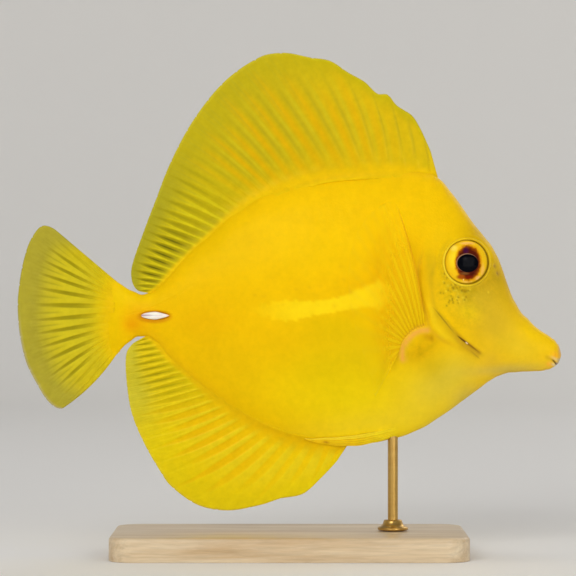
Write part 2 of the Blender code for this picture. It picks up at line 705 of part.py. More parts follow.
def pectoral_place():
    """Places the corners of the left pectoral fin, which stands off the flank."""
    path = ray_path(PECTORAL_ROOT, PECTORAL_EDGE, PECTORAL_FAN, PECTORAL_BOW)
    centre = Vector(PECTORAL_LOBE_PLACE)

    def mid(across, along):
        flat = path(across, max(along, 0.0))
        start = path(across, 0.001)
        if along <= 0:
            flat = start.lerp(centre, 0.55)
        root_y = flank_place(start.x, start.y)[0].y
        reach = (flat - start).length
        flare = PECTORAL_FLARE[0] + (PECTORAL_FLARE[1] - PECTORAL_FLARE[0]) * across
        rise = -0.9 if along <= 0 else 0.25 + flare * reach - PECTORAL_CAMBER * reach ** 2
        return Vector((flat.x, root_y + rise, flat.y))

    def place(across, along, kind, side):
        step = 0.01
        here = mid(across, along)
        by_along = mid(across, min(1.0, along + step)) - mid(across, max(0.001, along - step))
        out = max(along, 0.05)
        by_across = mid(min(1.0, across + step), out) - mid(max(0.0, across - step), out)
        facing = by_along.cross(by_across).normalized()
        if facing.y < 0:
            facing.negate()
        return here + facing * side * thickness_at(kind, along) / 2

    return place


def make_pectoral_fins():
    fin = plate("pectoral_fin_left", PECTORAL_RAYS, pectoral_place())
    place, outward = flank_place(*PECTORAL_LOBE_PLACE)
    lobe = bmesh.new()
    bmesh.ops.create_uvsphere(lobe, u_segments=16, v_segments=10, radius=1.0)
    bmesh.ops.scale(lobe, vec=PECTORAL_LOBE, verts=lobe.verts)
    tilt = Matrix.Rotation(math.radians(-PECTORAL_LOBE_TILT), 3, "Y")
    bmesh.ops.rotate(lobe, cent=(0.0, 0.0, 0.0), matrix=tilt, verts=lobe.verts)
    bmesh.ops.translate(lobe, vec=place - outward * 0.2, verts=lobe.verts)
    combine(fin, [solid("lobe", lobe, "fin")], "UNION")
    combine(fin, [flesh_cutter("flesh")], "DIFFERENCE")
    return [fin, mirrored(fin, "pectoral_fin_right")]


def pelvic_place(across, along, kind, side):
    """Places the corners of the left pelvic fin, folded back along the belly's edge."""
    x = PELVIC_ROOT_X + (PELVIC_TIP_X - PELVIC_ROOT_X) * along
    middle = sum(PELVIC_ANGLES) / 2
    spread = (PELVIC_ANGLES[1] - PELVIC_ANGLES[0]) * value_at(PELVIC_SPREAD, along)
    angle = math.radians(middle + spread * (across - 0.5))
    on_skin = flesh_point(x, angle)
    outward = flank_place(on_skin.x, on_skin.z)[1]
    off = -0.9 if along <= 0 else min(PELVIC_STAND_OFF + 0.2, 0.2 + 8.0 * along)
    thickness = PELVIC_THICKNESS * (1.0 if kind == "crest" else 0.66) * (1.0 - 0.35 * along)
    return on_skin + outward * (off + side * thickness / 2)


def make_pelvic_fins():
    rows = (0.0, 0.08, 0.3, 0.55, 0.78, 0.97)
    fin = plate("pelvic_fin_left", PELVIC_RAYS, pelvic_place, rows)
    combine(fin, [flesh_cutter("flesh")], "DIFFERENCE")
    return [fin, mirrored(fin, "pelvic_fin_right")]


def make_fins():
    dorsal_path = ray_path(DORSAL_ROOT, DORSAL_EDGE, DORSAL_FAN, DORSAL_BOW)
    anal_path = ray_path(ANAL_ROOT, ANAL_EDGE, ANAL_FAN, ANAL_BOW)
    tail_path = ray_path(TAIL_ROOT, TAIL_EDGE, TAIL_FAN, TAIL_BOW)
    upright_fin("dorsal_fin", DORSAL_RAYS, dorsal_path, DORSAL_SPACING)
    upright_fin("anal_fin", ANAL_RAYS, anal_path, ANAL_SPACING)
    upright_fin("tail_fin", TAIL_RAYS, tail_path, TAIL_SPACING, forked=True)
    make_pectoral_fins()
    make_pelvic_fins()


# The stand

def make_stand():
    base = bmesh.new()
    bmesh.ops.create_cube(base, size=1.0)
    bmesh.ops.scale(base, vec=(BASE_LENGTH, BASE_WIDTH, BASE_THICKNESS), verts=base.verts)
    bmesh.ops.translate(base, vec=(0.0, 0.0, BASE_THICKNESS / 2), verts=base.verts)
    upright = [edge for edge in base.edges if abs(edge.verts[0].co.z - edge.verts[1].co.z) > 1.0]
    bmesh.ops.bevel(base, geom=upright, offset=BASE_CORNER_RADIUS, segments=6, profile=0.5, affect="EDGES",
                    material=-1)
    rim = [edge for edge in base.edges
           if all(corner.co.z > BASE_THICKNESS - 0.01 for corner in edge.verts) and len(edge.link_faces) == 2
           and edge.calc_face_angle() > 1.0]
    bmesh.ops.bevel(base, geom=rim, offset=BASE_EDGE_BEVEL, segments=3, profile=0.5, affect="EDGES",
                    material=-1)
    board = solid("stand_base", base, "base_wood")
    socket = rod_shape(ROD_RADIUS + GAP, BASE_THICKNESS - ROD_IN_BASE - GAP, BASE_THICKNESS + 5.0)
    combine(board, [solid("socket", socket)], "DIFFERENCE")
    solid("stand_rod", rod_shape(ROD_RADIUS, BASE_THICKNESS - ROD_IN_BASE, rod_top()), "brass")
    collar = bmesh.new()
    low = BASE_THICKNESS + GAP
    bmesh.ops.create_cone(collar, cap_ends=True, segments=24, radius1=FERRULE_RADIUS,
                          radius2=FERRULE_TOP_RADIUS, depth=FERRULE_HEIGHT)
    bmesh.ops.translate(collar, vec=(ROD_X, 0.0, low + FERRULE_HEIGHT / 2), verts=collar.verts)
    ferrule = solid("stand_ferrule", collar, "brass")
    hole = rod_shape(ROD_RADIUS + GAP, BASE_THICKNESS - 1.0, low + FERRULE_HEIGHT + 1.0)
    combine(ferrule, [solid("hole", hole)], "DIFFERENCE")


def make_body():
    make_head()
    make_jaws()
    make_gill_covers()
    make_trunk()
    make_tail_stalk()
    make_eyes()
    make_tail_spines()


clear_scene()
make_body()
make_fins()
make_stand()
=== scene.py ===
"""A yellow tang, life size, held by a brass rod above a pale wooden base.

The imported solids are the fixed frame. Each section dresses one group of them with its finished form.
Sizes are in millimetres in the solids' own frame: the snout points to +X and the back to +Z.
"""

import math
import random

import bmesh
import bpy
import numpy as np
from mathutils import Matrix, Vector


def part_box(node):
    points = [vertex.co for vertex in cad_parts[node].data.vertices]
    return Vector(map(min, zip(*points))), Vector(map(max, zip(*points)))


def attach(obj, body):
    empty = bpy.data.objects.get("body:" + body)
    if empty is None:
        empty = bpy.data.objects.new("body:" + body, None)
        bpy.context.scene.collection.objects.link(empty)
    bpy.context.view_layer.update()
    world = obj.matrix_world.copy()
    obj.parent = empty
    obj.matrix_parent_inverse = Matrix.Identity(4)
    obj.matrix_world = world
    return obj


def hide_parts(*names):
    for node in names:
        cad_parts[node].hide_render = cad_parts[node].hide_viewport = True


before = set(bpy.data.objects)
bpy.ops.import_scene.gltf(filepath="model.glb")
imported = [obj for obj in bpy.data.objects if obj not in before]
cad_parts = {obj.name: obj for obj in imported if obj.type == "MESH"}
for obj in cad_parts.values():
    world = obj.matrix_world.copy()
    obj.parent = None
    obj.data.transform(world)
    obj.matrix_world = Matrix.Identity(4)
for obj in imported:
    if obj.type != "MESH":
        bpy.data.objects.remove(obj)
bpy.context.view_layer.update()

# The skin
# A yellow tang is a deep, thin disc of flesh under velvety skin with scales of under half a millimetre.
# It is one closed shell from the snout to the root of the tail, so that no joint shows, with the gill
# openings, lips and folds worked into it, and its colours are sprayed over one another as on a cast.
# Some of the sprays are painted shade in the folds, slits and hollows, a painted shadow or a painted glint.

MM = 0.001

BACK_LINE = (
    (-52.4, 81.7), (-49.2, 79.4), (-45.7, 77.5), (-41.9, 76.9), (-38.0, 79.6), (-33.3, 85.0), (-23.6, 94.4),
    (-13.9, 102.3), (-2.7, 108.0), (9.1, 111.3), (20.8, 112.7), (32.6, 113.0), (39.5, 112.6), (43.8, 110.9),
    (47.3, 107.1), (50.9, 102.3), (54.4, 97.3), (57.9, 93.0), (60.6, 89.0), (62.4, 85.0), (64.3, 79.4),
    (66.8, 73.8), (70.3, 69.4), (73.8, 66.1), (77.2, 63.8), (78.8, 62.2), (79.7, 60.4), (80.0, 59.2),
)
BELLY_LINE = (
    (-52.4, 57.1), (-49.8, 60.1), (-46.9, 62.7), (-43.3, 64.2), (-40.1, 63.2), (-35.1, 57.4), (-30.4, 53.2),
    (-25.7, 49.1), (-19.8, 44.6), (-15.1, 41.2), (-9.5, 37.9), (-3.9, 35.4), (3.5, 33.2), (10.5, 32.2),
    (16.7, 32.0), (23.8, 32.8), (29.7, 34.0), (36.7, 36.2), (43.8, 40.2), (50.9, 45.2), (56.2, 49.1),
    (59.7, 51.6), (62.4, 52.9), (66.8, 53.7), (72.1, 54.0), (75.6, 54.4), (77.4, 55.0), (78.6, 55.9),
    (79.6, 57.3), (80.0, 58.6),
)
WIDEST_LINE = (
    (-52.4, 68.8), (-42.0, 70.5), (-20.0, 72.0), (5.0, 74.0), (27.0, 76.0), (40.0, 78.5), (50.0, 80.5),
    (57.0, 77.0), (63.0, 68.5), (70.0, 62.6), (76.0, 59.8), (80.0, 58.9),
)
HALF_WIDTH = (
    (-52.4, 0.12), (-50.6, 0.94), (-47.0, 2.08), (-42.0, 2.9), (-36.0, 3.9), (-26.0, 5.7), (-12.0, 7.8),
    (3.0, 9.2), (15.0, 9.7), (27.0, 9.8), (36.0, 9.4), (44.0, 8.6), (52.0, 7.5), (59.0, 6.3), (65.0, 5.0),
    (70.0, 4.1), (74.5, 3.3), (76.6, 3.05), (78.2, 2.9), (79.4, 1.9), (80.0, 0.6),
)
SECTION_POWER = (
    (-52.4, 0.9), (-30.0, 1.0), (0.0, 1.12), (30.0, 1.12), (45.0, 1.0), (60.0, 0.92), (80.0, 0.9),
)
# The rings of corners of the skin: from, to and the gap between two rings
SKIN_SPACING = (
    (-52.4, -33.0, 0.8), (-33.0, 36.0, 1.0), (36.0, 60.0, 0.22), (60.0, 77.6, 0.3), (77.6, 79.6, 0.16),
    (79.6, 80.01, 0.07),
)
SKIN_CORNERS = 320
TAIL_END_BULGE = 2.4

EYE_PLACE = (51.85, 86.03)
EYE_RADIUS = 6.5
COVER_EDGE = (
    (41.0, 90.6), (39.3, 88.9), (38.0, 81.7), (38.5, 76.4), (40.4, 71.4), (41.6, 67.0), (45.0, 63.8),
    (50.3, 61.0), (56.4, 57.8),
)
CHEEK_LINE = (
    (42.4, 89.0), (42.6, 86.0), (41.4, 80.6), (42.5, 73.0), (46.5, 68.2), (49.9, 64.1), (52.3, 62.0),
    (56.6, 58.9),
)
MOUTH_LINE = ((75.6, 58.2), (76.6, 57.7), (77.9, 56.8), (78.5, 56.0), (79.6, 54.9))
LATERAL_LINE = (
    (41.0, 91.0), (30.0, 96.5), (12.0, 98.0), (-8.0, 92.0), (-24.0, 82.0), (-38.0, 73.8), (-50.0, 70.0),
)
# The pale bar along the flank: place along the fish, height and half width
BAR = (
    (-11.0, 72.0, 0.6), (-7.1, 72.0, 1.9), (7.9, 72.7, 2.15), (15.8, 74.1, 2.2), (22.3, 75.9, 2.9),
    (29.7, 76.5, 1.8), (31.0, 76.5, 0.4),
)
FIN_LOBE_PLACE = (36.6, 61.6)
FIN_LOBE_SIZE = (5.6, 4.0)
FIN_LOBE_TILT = 28.0
FIN_ARC = ((40.3, 66.2), (38.4, 66.1), (36.6, 65.3), (34.9, 63.8), (33.4, 61.8), (32.8, 59.8), (33.2, 57.6))
SPINE_PLACE = (-39.3, 70.4)
SPINE_SIZE = (8.3, 1.5, 2.3)
MUSCLE_BAND = 3.1
PORES = 36
SPECKS = 26
FRECKLES = 26

# How far each feature stands out of the plain flesh or lies below it
COVER_LIP = 0.2
CHEEK_FOLD = 0.18
CHEEK_SLIT = 0.22
MOUTH_DEPTH = 0.5
LIP_RISE = 0.16
LATERAL_RISE = 0.05
MUSCLE_RISE = 0.03
EYE_RIM_RISE = 0.25
EYE_HOLLOW = 3.2
PORE_DEPTH = 0.07
FIN_LOBE_RISE = 0.16
FIN_ARC_RISE = 0.14
SPINE_GROOVE = 0.7
GRAIN_DEPTH = 0.08


def linear(hex_colour):
    """An sRGB hex value as the linear red, green, blue and alpha that a shader reads."""
    channels = [int(hex_colour[i:i + 2], 16) / 255 for i in (0, 2, 4)]
    return [c / 12.92 if c <= 0.04045 else ((c + 0.055) / 1.055) ** 2.4 for c in channels] + [1.0]


def read(line, x):
    """The smooth curve through the (place, value) pairs of a line, read at x."""
    places, values = np.array(line, float).T[:2]
    widths = np.diff(places)
    slopes = np.diff(values) / widths
    tangents = np.concatenate([slopes[:1], slopes])
    tangents[1:-1] = (slopes[:-1] * widths[1:] + slopes[1:] * widths[:-1]) / (widths[:-1] + widths[1:])
    x = np.clip(x, places[0], places[-1])
    i = np.clip(np.searchsorted(places, x) - 1, 0, len(slopes) - 1)
    t = (x - places[i]) / widths[i]
    from_start = values[i] + tangents[i] * widths[i] * t
    from_end = values[i + 1] - tangents[i + 1] * widths[i] * (1 - t)
    return from_start + (from_end - from_start) * t * t * (3 - 2 * t)


def step(low, high, value):
    """A soft step from 0 at low to 1 at high."""
    t = np.clip((value - low) / (high - low), 0.0, 1.0)
    return t * t * (3 - 2 * t)


def bell(far, width=1.0):
    """1 where far is 0, fading to both sides over about that width."""
    return np.exp(-(far / width) ** 2)


def smooth_line(points, steps=6):
    """A finer line through the points, rounded as a Catmull-Rom curve."""
    points = np.array(points, float)
    padded = np.vstack([2 * points[0] - points[1], points, 2 * points[-1] - points[-2]])
    a, b, c, d = (padded[i:len(padded) - 3 + i, None, :] for i in range(4))
    t = (np.arange(steps) / steps)[None, :, None]
    line = 2 * b + (c - a) * t + (2 * a - 5 * b + 4 * c - d) * t ** 2 + (3 * b - a - 3 * c + d) * t ** 3
    return np.vstack([0.5 * line.reshape(-1, points.shape[1]), points[-1]])


def beside(x, z, line):
    """How far places in the side view are from a line, more than 0 on its left, and their share along it."""
    line = smooth_line(line)
    lengths = np.hypot(*np.diff(line, axis=0).T)
    gap, share, side = np.full(x.shape, 1e9), np.zeros(x.shape), np.ones(x.shape)
    run = 0.0
    for start, end, length in zip(line[:-1], line[1:], lengths):
        ahead = (end - start) / length
        dx, dz = x - start[0], z - start[1]
        along = np.clip(dx * ahead[0] + dz * ahead[1], 0, length)
        far = np.hypot(dx - along * ahead[0], dz - along * ahead[1])
        nearer = far < gap
        gap = np.where(nearer, far, gap)
        share = np.where(nearer, (run + along) / lengths.sum(), share)
        side = np.where(nearer, np.where(ahead[0] * dz - ahead[1] * dx < 0, -1.0, 1.0), side)
        run += length
    return gap * side, share


def oval(x, z, place, reach, tilt=0.0):
    """How far places are from an oval's centre, in its half lengths. Tilt raises its front end."""
    dx, dz = x - place[0], z - place[1]
    c, s = math.cos(math.radians(tilt)), math.sin(math.radians(tilt))
    return np.hypot((dx * c + dz * s) / reach[0], (dz * c - dx * s) / reach[1])


def flesh(x, angle):
    """Places on the flesh. The angle runs from 0 at the back to half a turn at the belly."""
    middle = read(WIDEST_LINE, x)
    up, down = read(BACK_LINE, x) - middle, middle - read(BELLY_LINE, x)
    rise = np.cos(angle)
    side = np.sign(np.sin(angle)) * np.abs(np.sin(angle)) ** read(SECTION_POWER, x)
    return np.stack([x, read(HALF_WIDTH, x) * side, middle + rise * np.where(rise > 0, up, down)], axis=-1)


def flank(x, z):
    """The places of the left flank at x and z, and the directions that face out there."""
    x, z = np.asarray(x, float), np.asarray(z, float)
    middle = read(WIDEST_LINE, x)
    reach = np.where(z > middle, read(BACK_LINE, x) - middle, middle - read(BELLY_LINE, x))
    angle = np.arccos(np.clip((z - middle) / reach, -1.0, 1.0))
    along = flesh(x + 0.3, angle) - flesh(x - 0.3, angle)
    down = flesh(x, angle + 0.02) - flesh(x, angle - 0.02)
    outward = np.cross(along, down)
    outward *= np.sign(outward[..., 1:2]) / np.linalg.norm(outward, axis=-1, keepdims=True)
    return flesh(x, angle), outward


def corners_of(mesh):
    """The places of a mesh's corners, one row for each."""
    places = np.empty(len(mesh.vertices) * 3)
    mesh.vertices.foreach_get("co", places)
    return places.reshape(-1, 3)


def set_corners(mesh, places):
    """Puts a mesh's corners in those places."""
    mesh.vertices.foreach_set("co", np.ascontiguousarray(places, np.float32).ravel())
    mesh.update()


def normals_of(mesh):
    """The directions that a mesh faces at its corners."""
    normals = np.empty(len(mesh.vertices) * 3)
    mesh.vertices.foreach_get("normal", normals)
    return normals.reshape(-1, 3)


def face_out(shape):
    """Turns the faces of a closed shape to the outside."""
    if shape.calc_volume(signed=True) < 0:
        bmesh.ops.reverse_faces(shape, faces=shape.faces)


def as_mesh(name, shape):
    """A mesh from a bmesh, smooth shaded, with its faces turned to the outside."""
    bmesh.ops.recalc_face_normals(shape, faces=shape.faces)
    face_out(shape)
    mesh = bpy.data.meshes.new(name)
    shape.to_mesh(mesh)
    shape.free()
    mesh.shade_smooth()
    return mesh


def shaped(mesh, places):
    """Puts a closed mesh's corners in those places and turns its faces to the outside."""
    set_corners(mesh, places)
    shape = bmesh.new()
    shape.from_mesh(mesh)
    face_out(shape)
    shape.to_mesh(mesh)
    shape.free()


def put(name, mesh, material, slot, *nodes):
    """Shows a mesh, drawn in millimetres, in the place of those solids."""
    mesh.transform(Matrix.Scale(MM, 4))
    piece = bpy.data.objects.new(name, mesh)
    bpy.context.scene.collection.objects.link(piece)
    mesh.materials.append(material)
    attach(piece, "root")
    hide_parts(*nodes)


def put_pair(name, mesh, material, slot, *nodes):
    """Shows a mesh made for the left side, in place of the first node, and its mirror image on the right."""
    shape = bmesh.new()
    shape.from_mesh(mesh)
    bmesh.ops.scale(shape, vec=(1.0, -1.0, 1.0), verts=shape.verts)
    bmesh.ops.reverse_faces(shape, faces=shape.faces)
    twin = bpy.data.meshes.new(name + "_right")
    shape.to_mesh(twin)
    shape.free()
    put(name + "_right", twin, material, slot, *nodes[1:])
    put(name + "_left", mesh, material, slot, *nodes[:1])


def store(mesh, name, values):
    """Keeps a colour or a number for each corner of a mesh, for its material to read."""
    values = np.asarray(values, np.float32)
    kind, field = ("FLOAT", "value") if values.ndim == 1 else ("FLOAT_COLOR", "color")
    mesh.attributes.new(name, kind, "POINT").data.foreach_set(field, values.ravel())


def plain(colour, count):
    """Paint of one colour on that many corners."""
    return np.tile(linear(colour), (count, 1))


def spray(paint, *coats):
    """Lays coats over paint, each a colour with a weight from 0 to 1 at each corner."""
    for colour, weight in coats:
        weight = np.clip(weight, 0.0, 1.0)[:, None]
        paint = paint * (1 - weight) + np.array(linear(colour)) * weight
    return paint


def add(material, kind, inputs=None, **settings):
    """Adds a shader node to a material, with its settings, and with its inputs filled or linked."""
    node = material.node_tree.nodes.new("ShaderNode" + kind)
    for name, value in settings.items():
        setattr(node, name, value)
    for socket, value in (inputs or {}).items():
        if isinstance(value, bpy.types.NodeSocket):
            material.node_tree.links.new(value, node.inputs[socket])
        else:
            node.inputs[socket].default_value = value
    return node


def new_material(name, **values):
    """A material whose shader has these values, with spaces for the underscores in their names."""
    material = bpy.data.materials.new(name)
    material.use_nodes = True
    shader = material.node_tree.nodes["Principled BSDF"]
    for socket, value in values.items():
        shader.inputs[socket.replace("_", " ")].default_value = value
    return material, shader


def link(material, source, target):
    """Links an output to the shader's input."""
    material.node_tree.links.new(source, target)


def per(size_mm):
    """The scale that gives a pattern that size in object coordinates, which are in metres."""
    return 1.0 / (size_mm * MM)


def skin_mesh():
    """A sphere drawn out into the body, one ring of corners for each station."""
    stations = np.concatenate([np.arange(*spacing) for spacing in SKIN_SPACING])
    shape = bmesh.new()
    bmesh.ops.create_uvsphere(shape, u_segments=SKIN_CORNERS, v_segments=len(stations) + 1, radius=1.0)
    mesh = as_mesh("skin", shape)
    unit = corners_of(mesh)
    turn = np.arccos(np.clip(unit[:, 2], -1.0, 1.0)) / math.pi * (len(stations) + 1)
    ring = len(stations) - np.rint(turn).astype(int)
    angle = np.arctan2(unit[:, 1], unit[:, 0])
    angle += 0.25 * np.sin(2 * angle)
    x = stations[np.clip(ring, 0, len(stations) - 1)]
    places = flesh(x, angle)
    at_end = (ring < 0) | (ring >= len(stations))
    places[at_end, 1] = 0.0
    places[at_end, 2] = read(WIDEST_LINE, x[at_end])
    places[:, 0] -= TAIL_END_BULGE * np.sin(angle) ** 2 * step(-46.0, -52.4, x)
    shaped(mesh, places)
    return mesh


def scattered(seed, count, spots):
    """Seeded places round some spots, each spot an oval of a centre and half lengths."""
    draw = random.Random(seed)
    places = []
    for _ in range(count):
        (x, z), (wide, high) = draw.choice(spots)
        places.append((draw.gauss(x, wide / 2), draw.gauss(z, high / 2), draw.uniform(0.7, 1.3)))
    return places


def dots(x, z, places, radius):
    """A weight that is 1 in round dots at those places."""
    weight = np.zeros(x.shape)
    for px, pz, size in places:
        close = (np.abs(x - px) < 2 * radius) & (np.abs(z - pz) < 2 * radius)
        far = np.hypot(x[close] - px, z[close] - pz)
        weight[close] = np.maximum(weight[close], bell(far, radius * size))
    return weight


def relief(x, z):
    """How far the skin stands out from the plain flesh at a place in the side view."""
    edge, along = beside(x, z, COVER_EDGE)
    there = step(0.0, 0.15, along) * (1 - step(0.66, 0.86, along)) * (0.5 + 0.5 * step(0.3, 0.5, along))
    rise = there * COVER_LIP * step(0.0, 0.5, edge) * (1 - step(0.5, 5.0, edge))
    rise -= there * COVER_LIP * step(-1.9, -0.1, edge) * (1 - step(-0.05, 0.2, edge))
    crease, along = beside(x, z, CHEEK_LINE)
    soft_part = step(0.4, 0.5, along) * (1 - step(0.97, 1.0, along))
    open_part = step(0.66, 0.8, along) * (1 - step(0.96, 1.0, along))
    rise -= 0.04 * step(0.0, 0.06, along) * (1 - step(0.9, 1.0, along)) * bell(crease, 0.5)
    rise -= CHEEK_FOLD * soft_part * bell(crease, np.where(crease < 0, 0.8, 0.4))
    rise -= CHEEK_SLIT * open_part * bell(crease, 0.45)
    rise += 0.08 * soft_part * bell(crease - 0.8, 0.5)
    mouth, along = beside(x, z, MOUTH_LINE)
    rise -= MOUTH_DEPTH * step(0.2, 0.5, along) * bell(mouth, 0.18)
    rise += LIP_RISE * step(0.2, 0.6, along) * bell(np.abs(mouth) - 0.65, 0.45)
    line = np.abs(beside(x, z, LATERAL_LINE)[0])
    rise += LATERAL_RISE * (bell(line - 0.35, 0.2) - bell(line, 0.25))
    bend = np.abs(z - 72.0) * 0.35
    fade = (1 - step(28.0, 36.0, x)) * step(-46.0, -36.0, x)
    rise += MUSCLE_RISE * fade * np.sin(2 * math.pi * (x + bend) / MUSCLE_BAND)
    far = np.hypot(x - EYE_PLACE[0], z - EYE_PLACE[1])
    rise += EYE_RIM_RISE * bell(far - 7.6)
    rise -= EYE_HOLLOW * (1 - step(5.4, 6.75, far))
    rise -= PORE_DEPTH * dots(x, z, EYE_PORES, 0.26)
    for place, size, depth in NOSTRILS:
        far = np.hypot(x - place[0], z - place[1])
        rise += 0.1 * bell(far - size * 1.7, size * 0.5) - depth * bell(far, size)
    rise += FIN_LOBE_RISE * (1 - step(0.6, 1.1, oval(x, z, FIN_LOBE_PLACE, FIN_LOBE_SIZE, FIN_LOBE_TILT)))
    rise += FIN_ARC_RISE * bell(beside(x, z, FIN_ARC)[0], 0.7)
    rise -= 0.14 * bell(oval(x, z, (41.2, 63.9), (1.8, 0.6), -40.0))
    groove = oval(x, z, SPINE_PLACE, (SPINE_SIZE[0] / 2, SPINE_SIZE[2] / 2))
    return rise - SPINE_GROOVE * (1 - step(0.7, 1.2, groove))


# The nostrils: place, size and depth
NOSTRILS = (((61.1, 82.8), 0.36, 0.35), ((60.1, 84.9), 0.3, 0.25))

# The pores and specks below the eye lie round these spots: centre and half lengths
BELOW_EYE = (
    ((45.4, 82.0), (1.5, 6.0)), ((48.4, 78.8), (3.0, 1.6)), ((51.4, 77.4), (6.0, 1.0)),
    ((49.4, 75.2), (3.0, 1.6)),
)
EYE_PORES = scattered(3, PORES, BELOW_EYE)
EYE_SPECKS = scattered(6, SPECKS, BELOW_EYE)
FLANK_FRECKLES = scattered(8, FRECKLES, (((10.0, 76.0), (24.0, 6.0)), ((24.0, 84.0), (8.0, 4.0))))

# Airbrushed patches: colour, centre and half lengths in the side view, tilt in degrees, strength
SKIN_SPRAYS = (
    ("F9CA07", (20.0, 100.0), (42.0, 15.0), 0.0, 0.7),
    ("F8CC06", (12.0, 90.0), (22.0, 8.0), 0.0, 0.4),
    ("F0BC04", (24.0, 80.0), (16.0, 3.6), 8.0, 0.5),
    ("EAC003", (-24.0, 90.0), (14.0, 10.0), 40.0, 0.6),
    ("F2C104", (-30.0, 72.0), (20.0, 12.0), 0.0, 0.75),
    ("F8D208", (-42.0, 75.5), (4.0, 2.6), 30.0, 0.6),
    ("EDB002", (-25.0, 68.0), (8.0, 5.0), 0.0, 0.5),
    ("E9BC06", (-18.0, 55.0), (20.0, 10.0), -38.0, 0.7),
    ("EEBC05", (6.0, 62.0), (18.0, 8.0), 0.0, 0.5),
    ("F1D90E", (18.0, 46.0), (26.0, 13.0), 0.0, 0.75),
    ("F4D82A", (28.0, 38.0), (24.0, 5.0), 8.0, 0.7),
    ("FFE018", (24.0, 34.8), (24.0, 3.0), 5.0, 0.9),
    ("EFD32E", (42.0, 48.0), (12.0, 9.0), 30.0, 0.7),
    ("DAC238", (46.0, 52.0), (9.0, 5.0), 38.0, 0.75),
    ("DCC004", (12.0, 55.0), (12.0, 8.0), 0.0, 0.5),
    ("E2C003", (14.0, 67.0), (10.0, 4.5), 0.0, 0.6),
    ("DEC20C", (24.0, 60.0), (12.0, 8.0), 0.0, 0.45),
    ("CEAE09", (41.5, 55.8), (5.0, 4.0), 0.0, 0.5),
    ("CDB850", (52.0, 46.8), (5.0, 3.4), 35.0, 0.55),
    ("C8B458", (64.0, 54.6), (11.0, 1.8), 3.0, 0.7),
    ("F2B006", (-44.5, 70.0), (5.0, 5.0), 0.0, 0.7),
    ("F09C03", (-46.6, 67.8), (2.4, 2.0), 0.0, 0.75),
    ("EEC603", (-52.0, 68.0), (3.6, 12.0), 0.0, 0.8),
    ("F0CE03", (-49.5, 76.4), (5.5, 3.4), 0.0, 0.6),
    ("E8C004", (-49.0, 61.5), (4.0, 2.4), -30.0, 0.6),
    ("CCA40C", (54.5, 94.0), (5.0, 5.0), -52.0, 0.6),
    ("C0A01C", (60.6, 82.0), (2.8, 7.0), 20.0, 0.7),
    ("B4921E", (56.0, 78.0), (6.0, 5.0), 0.0, 0.7),
    ("E4BE0A", (46.0, 84.0), (4.0, 9.0), 0.0, 0.6),
    ("CFAC0A", (41.0, 84.5), (1.6, 5.0), 6.0, 0.6),
    ("D2B428", (54.0, 74.0), (9.0, 5.0), -20.0, 0.65),
    ("D2AE28", (60.0, 68.0), (7.0, 7.0), -40.0, 0.7),
    ("C2A407", (51.2, 77.9), (4.4, 1.4), 0.0, 0.5),
    ("C4A207", (52.4, 75.2), (3.6, 1.0), -42.0, 0.4),
    ("F0D00A", (52.5, 71.5), (3.4, 2.2), -30.0, 0.5),
    ("F4CC07", (47.0, 75.6), (1.8, 2.6), 0.0, 0.5),
    ("D8AE30", (59.0, 57.5), (3.4, 2.6), 0.0, 0.5),
    ("E8C82E", (68.0, 61.0), (9.0, 6.0), -25.0, 0.6),
    ("FBCE04", (71.0, 65.0), (5.0, 2.6), -42.0, 0.6),
    ("F0C809", (44.5, 68.0), (4.0, 2.6), -58.0, 0.6),
    ("FADC28", (44.6, 64.2), (1.3, 0.7), -20.0, 0.6),
    ("DBA906", (38.0, 60.2), (5.6, 3.2), 28.0, 0.75),
    # Darker in the crease between the gill cover and the fin's lobe: painted shade.
    ("CC9006", (40.4, 64.2), (2.2, 1.0), -20.0, 0.65),
    ("B27A07", (41.6, 63.8), (0.6, 1.1), 10.0, 0.5),
    ("C8A407", (40.2, 60.6), (3.8, 0.5), 35.0, 0.5),
    # A soft olive line under the pectoral fin's rear edge: a painted shadow of that edge.
    ("C9AE09", (27.8, 55.0), (7.5, 0.9), 73.0, 0.4),
    # A brownish wedge under the cheek fold: painted shade.
    ("C49709", (49.2, 63.0), (5.5, 1.5), -42.0, 0.5),
    ("FBB42C", (78.2, 58.9), (1.3, 1.2), -20.0, 0.75),
    ("FFB83A", (76.4, 56.1), (0.9, 0.8), 0.0, 0.85),
    ("ECBA84", (79.7, 60.1), (0.6, 1.6), 10.0, 0.7),
    ("F0CC8C", (78.0, 57.7), (1.2, 0.45), -25.0, 0.8),
    ("EFD9A6", (77.8, 55.9), (0.9, 0.45), -35.0, 0.85),
    ("B9AE92", (79.3, 57.1), (0.6, 0.8), 0.0, 0.85),
    ("8E7C96", (78.7, 56.3), (0.35, 0.5), 0.0, 0.8),
)

# The folds and the slit under the cheek, darkened as painted shade, with a painted glint in the slit:
# colour, centre and half lengths in the side view, tilt, strength
SLIT = (
    ("9A7A12", (45.1, 69.1), (5.4, 0.24), -50.7, 0.7),
    ("B08C1A", (54.4, 59.0), (2.2, 0.3), -42.0, 0.5),
    ("8E6016", (52.4, 62.1), (4.4, 0.34), -37.0, 0.8),
    ("54300A", (50.7, 63.3), (2.1, 0.26), -38.0, 0.9),
    # A painted glint in the slit.
    ("F4DCC0", (51.9, 62.4), (0.55, 0.24), -38.0, 0.9),
)

# Where the skin is mottled: centre and half lengths in the side view, strength
MOTTLED = (
    ((49.5, 77.0), (7.0, 3.6), 0.9), ((45.2, 83.0), (2.4, 7.0), 0.7), ((51.0, 70.5), (8.0, 6.0), 0.55),
    ((59.5, 83.0), (2.6, 8.0), 0.5), ((37.5, 60.5), (4.5, 3.0), 0.6), ((26.0, 88.0), (14.0, 8.0), 0.25),
)


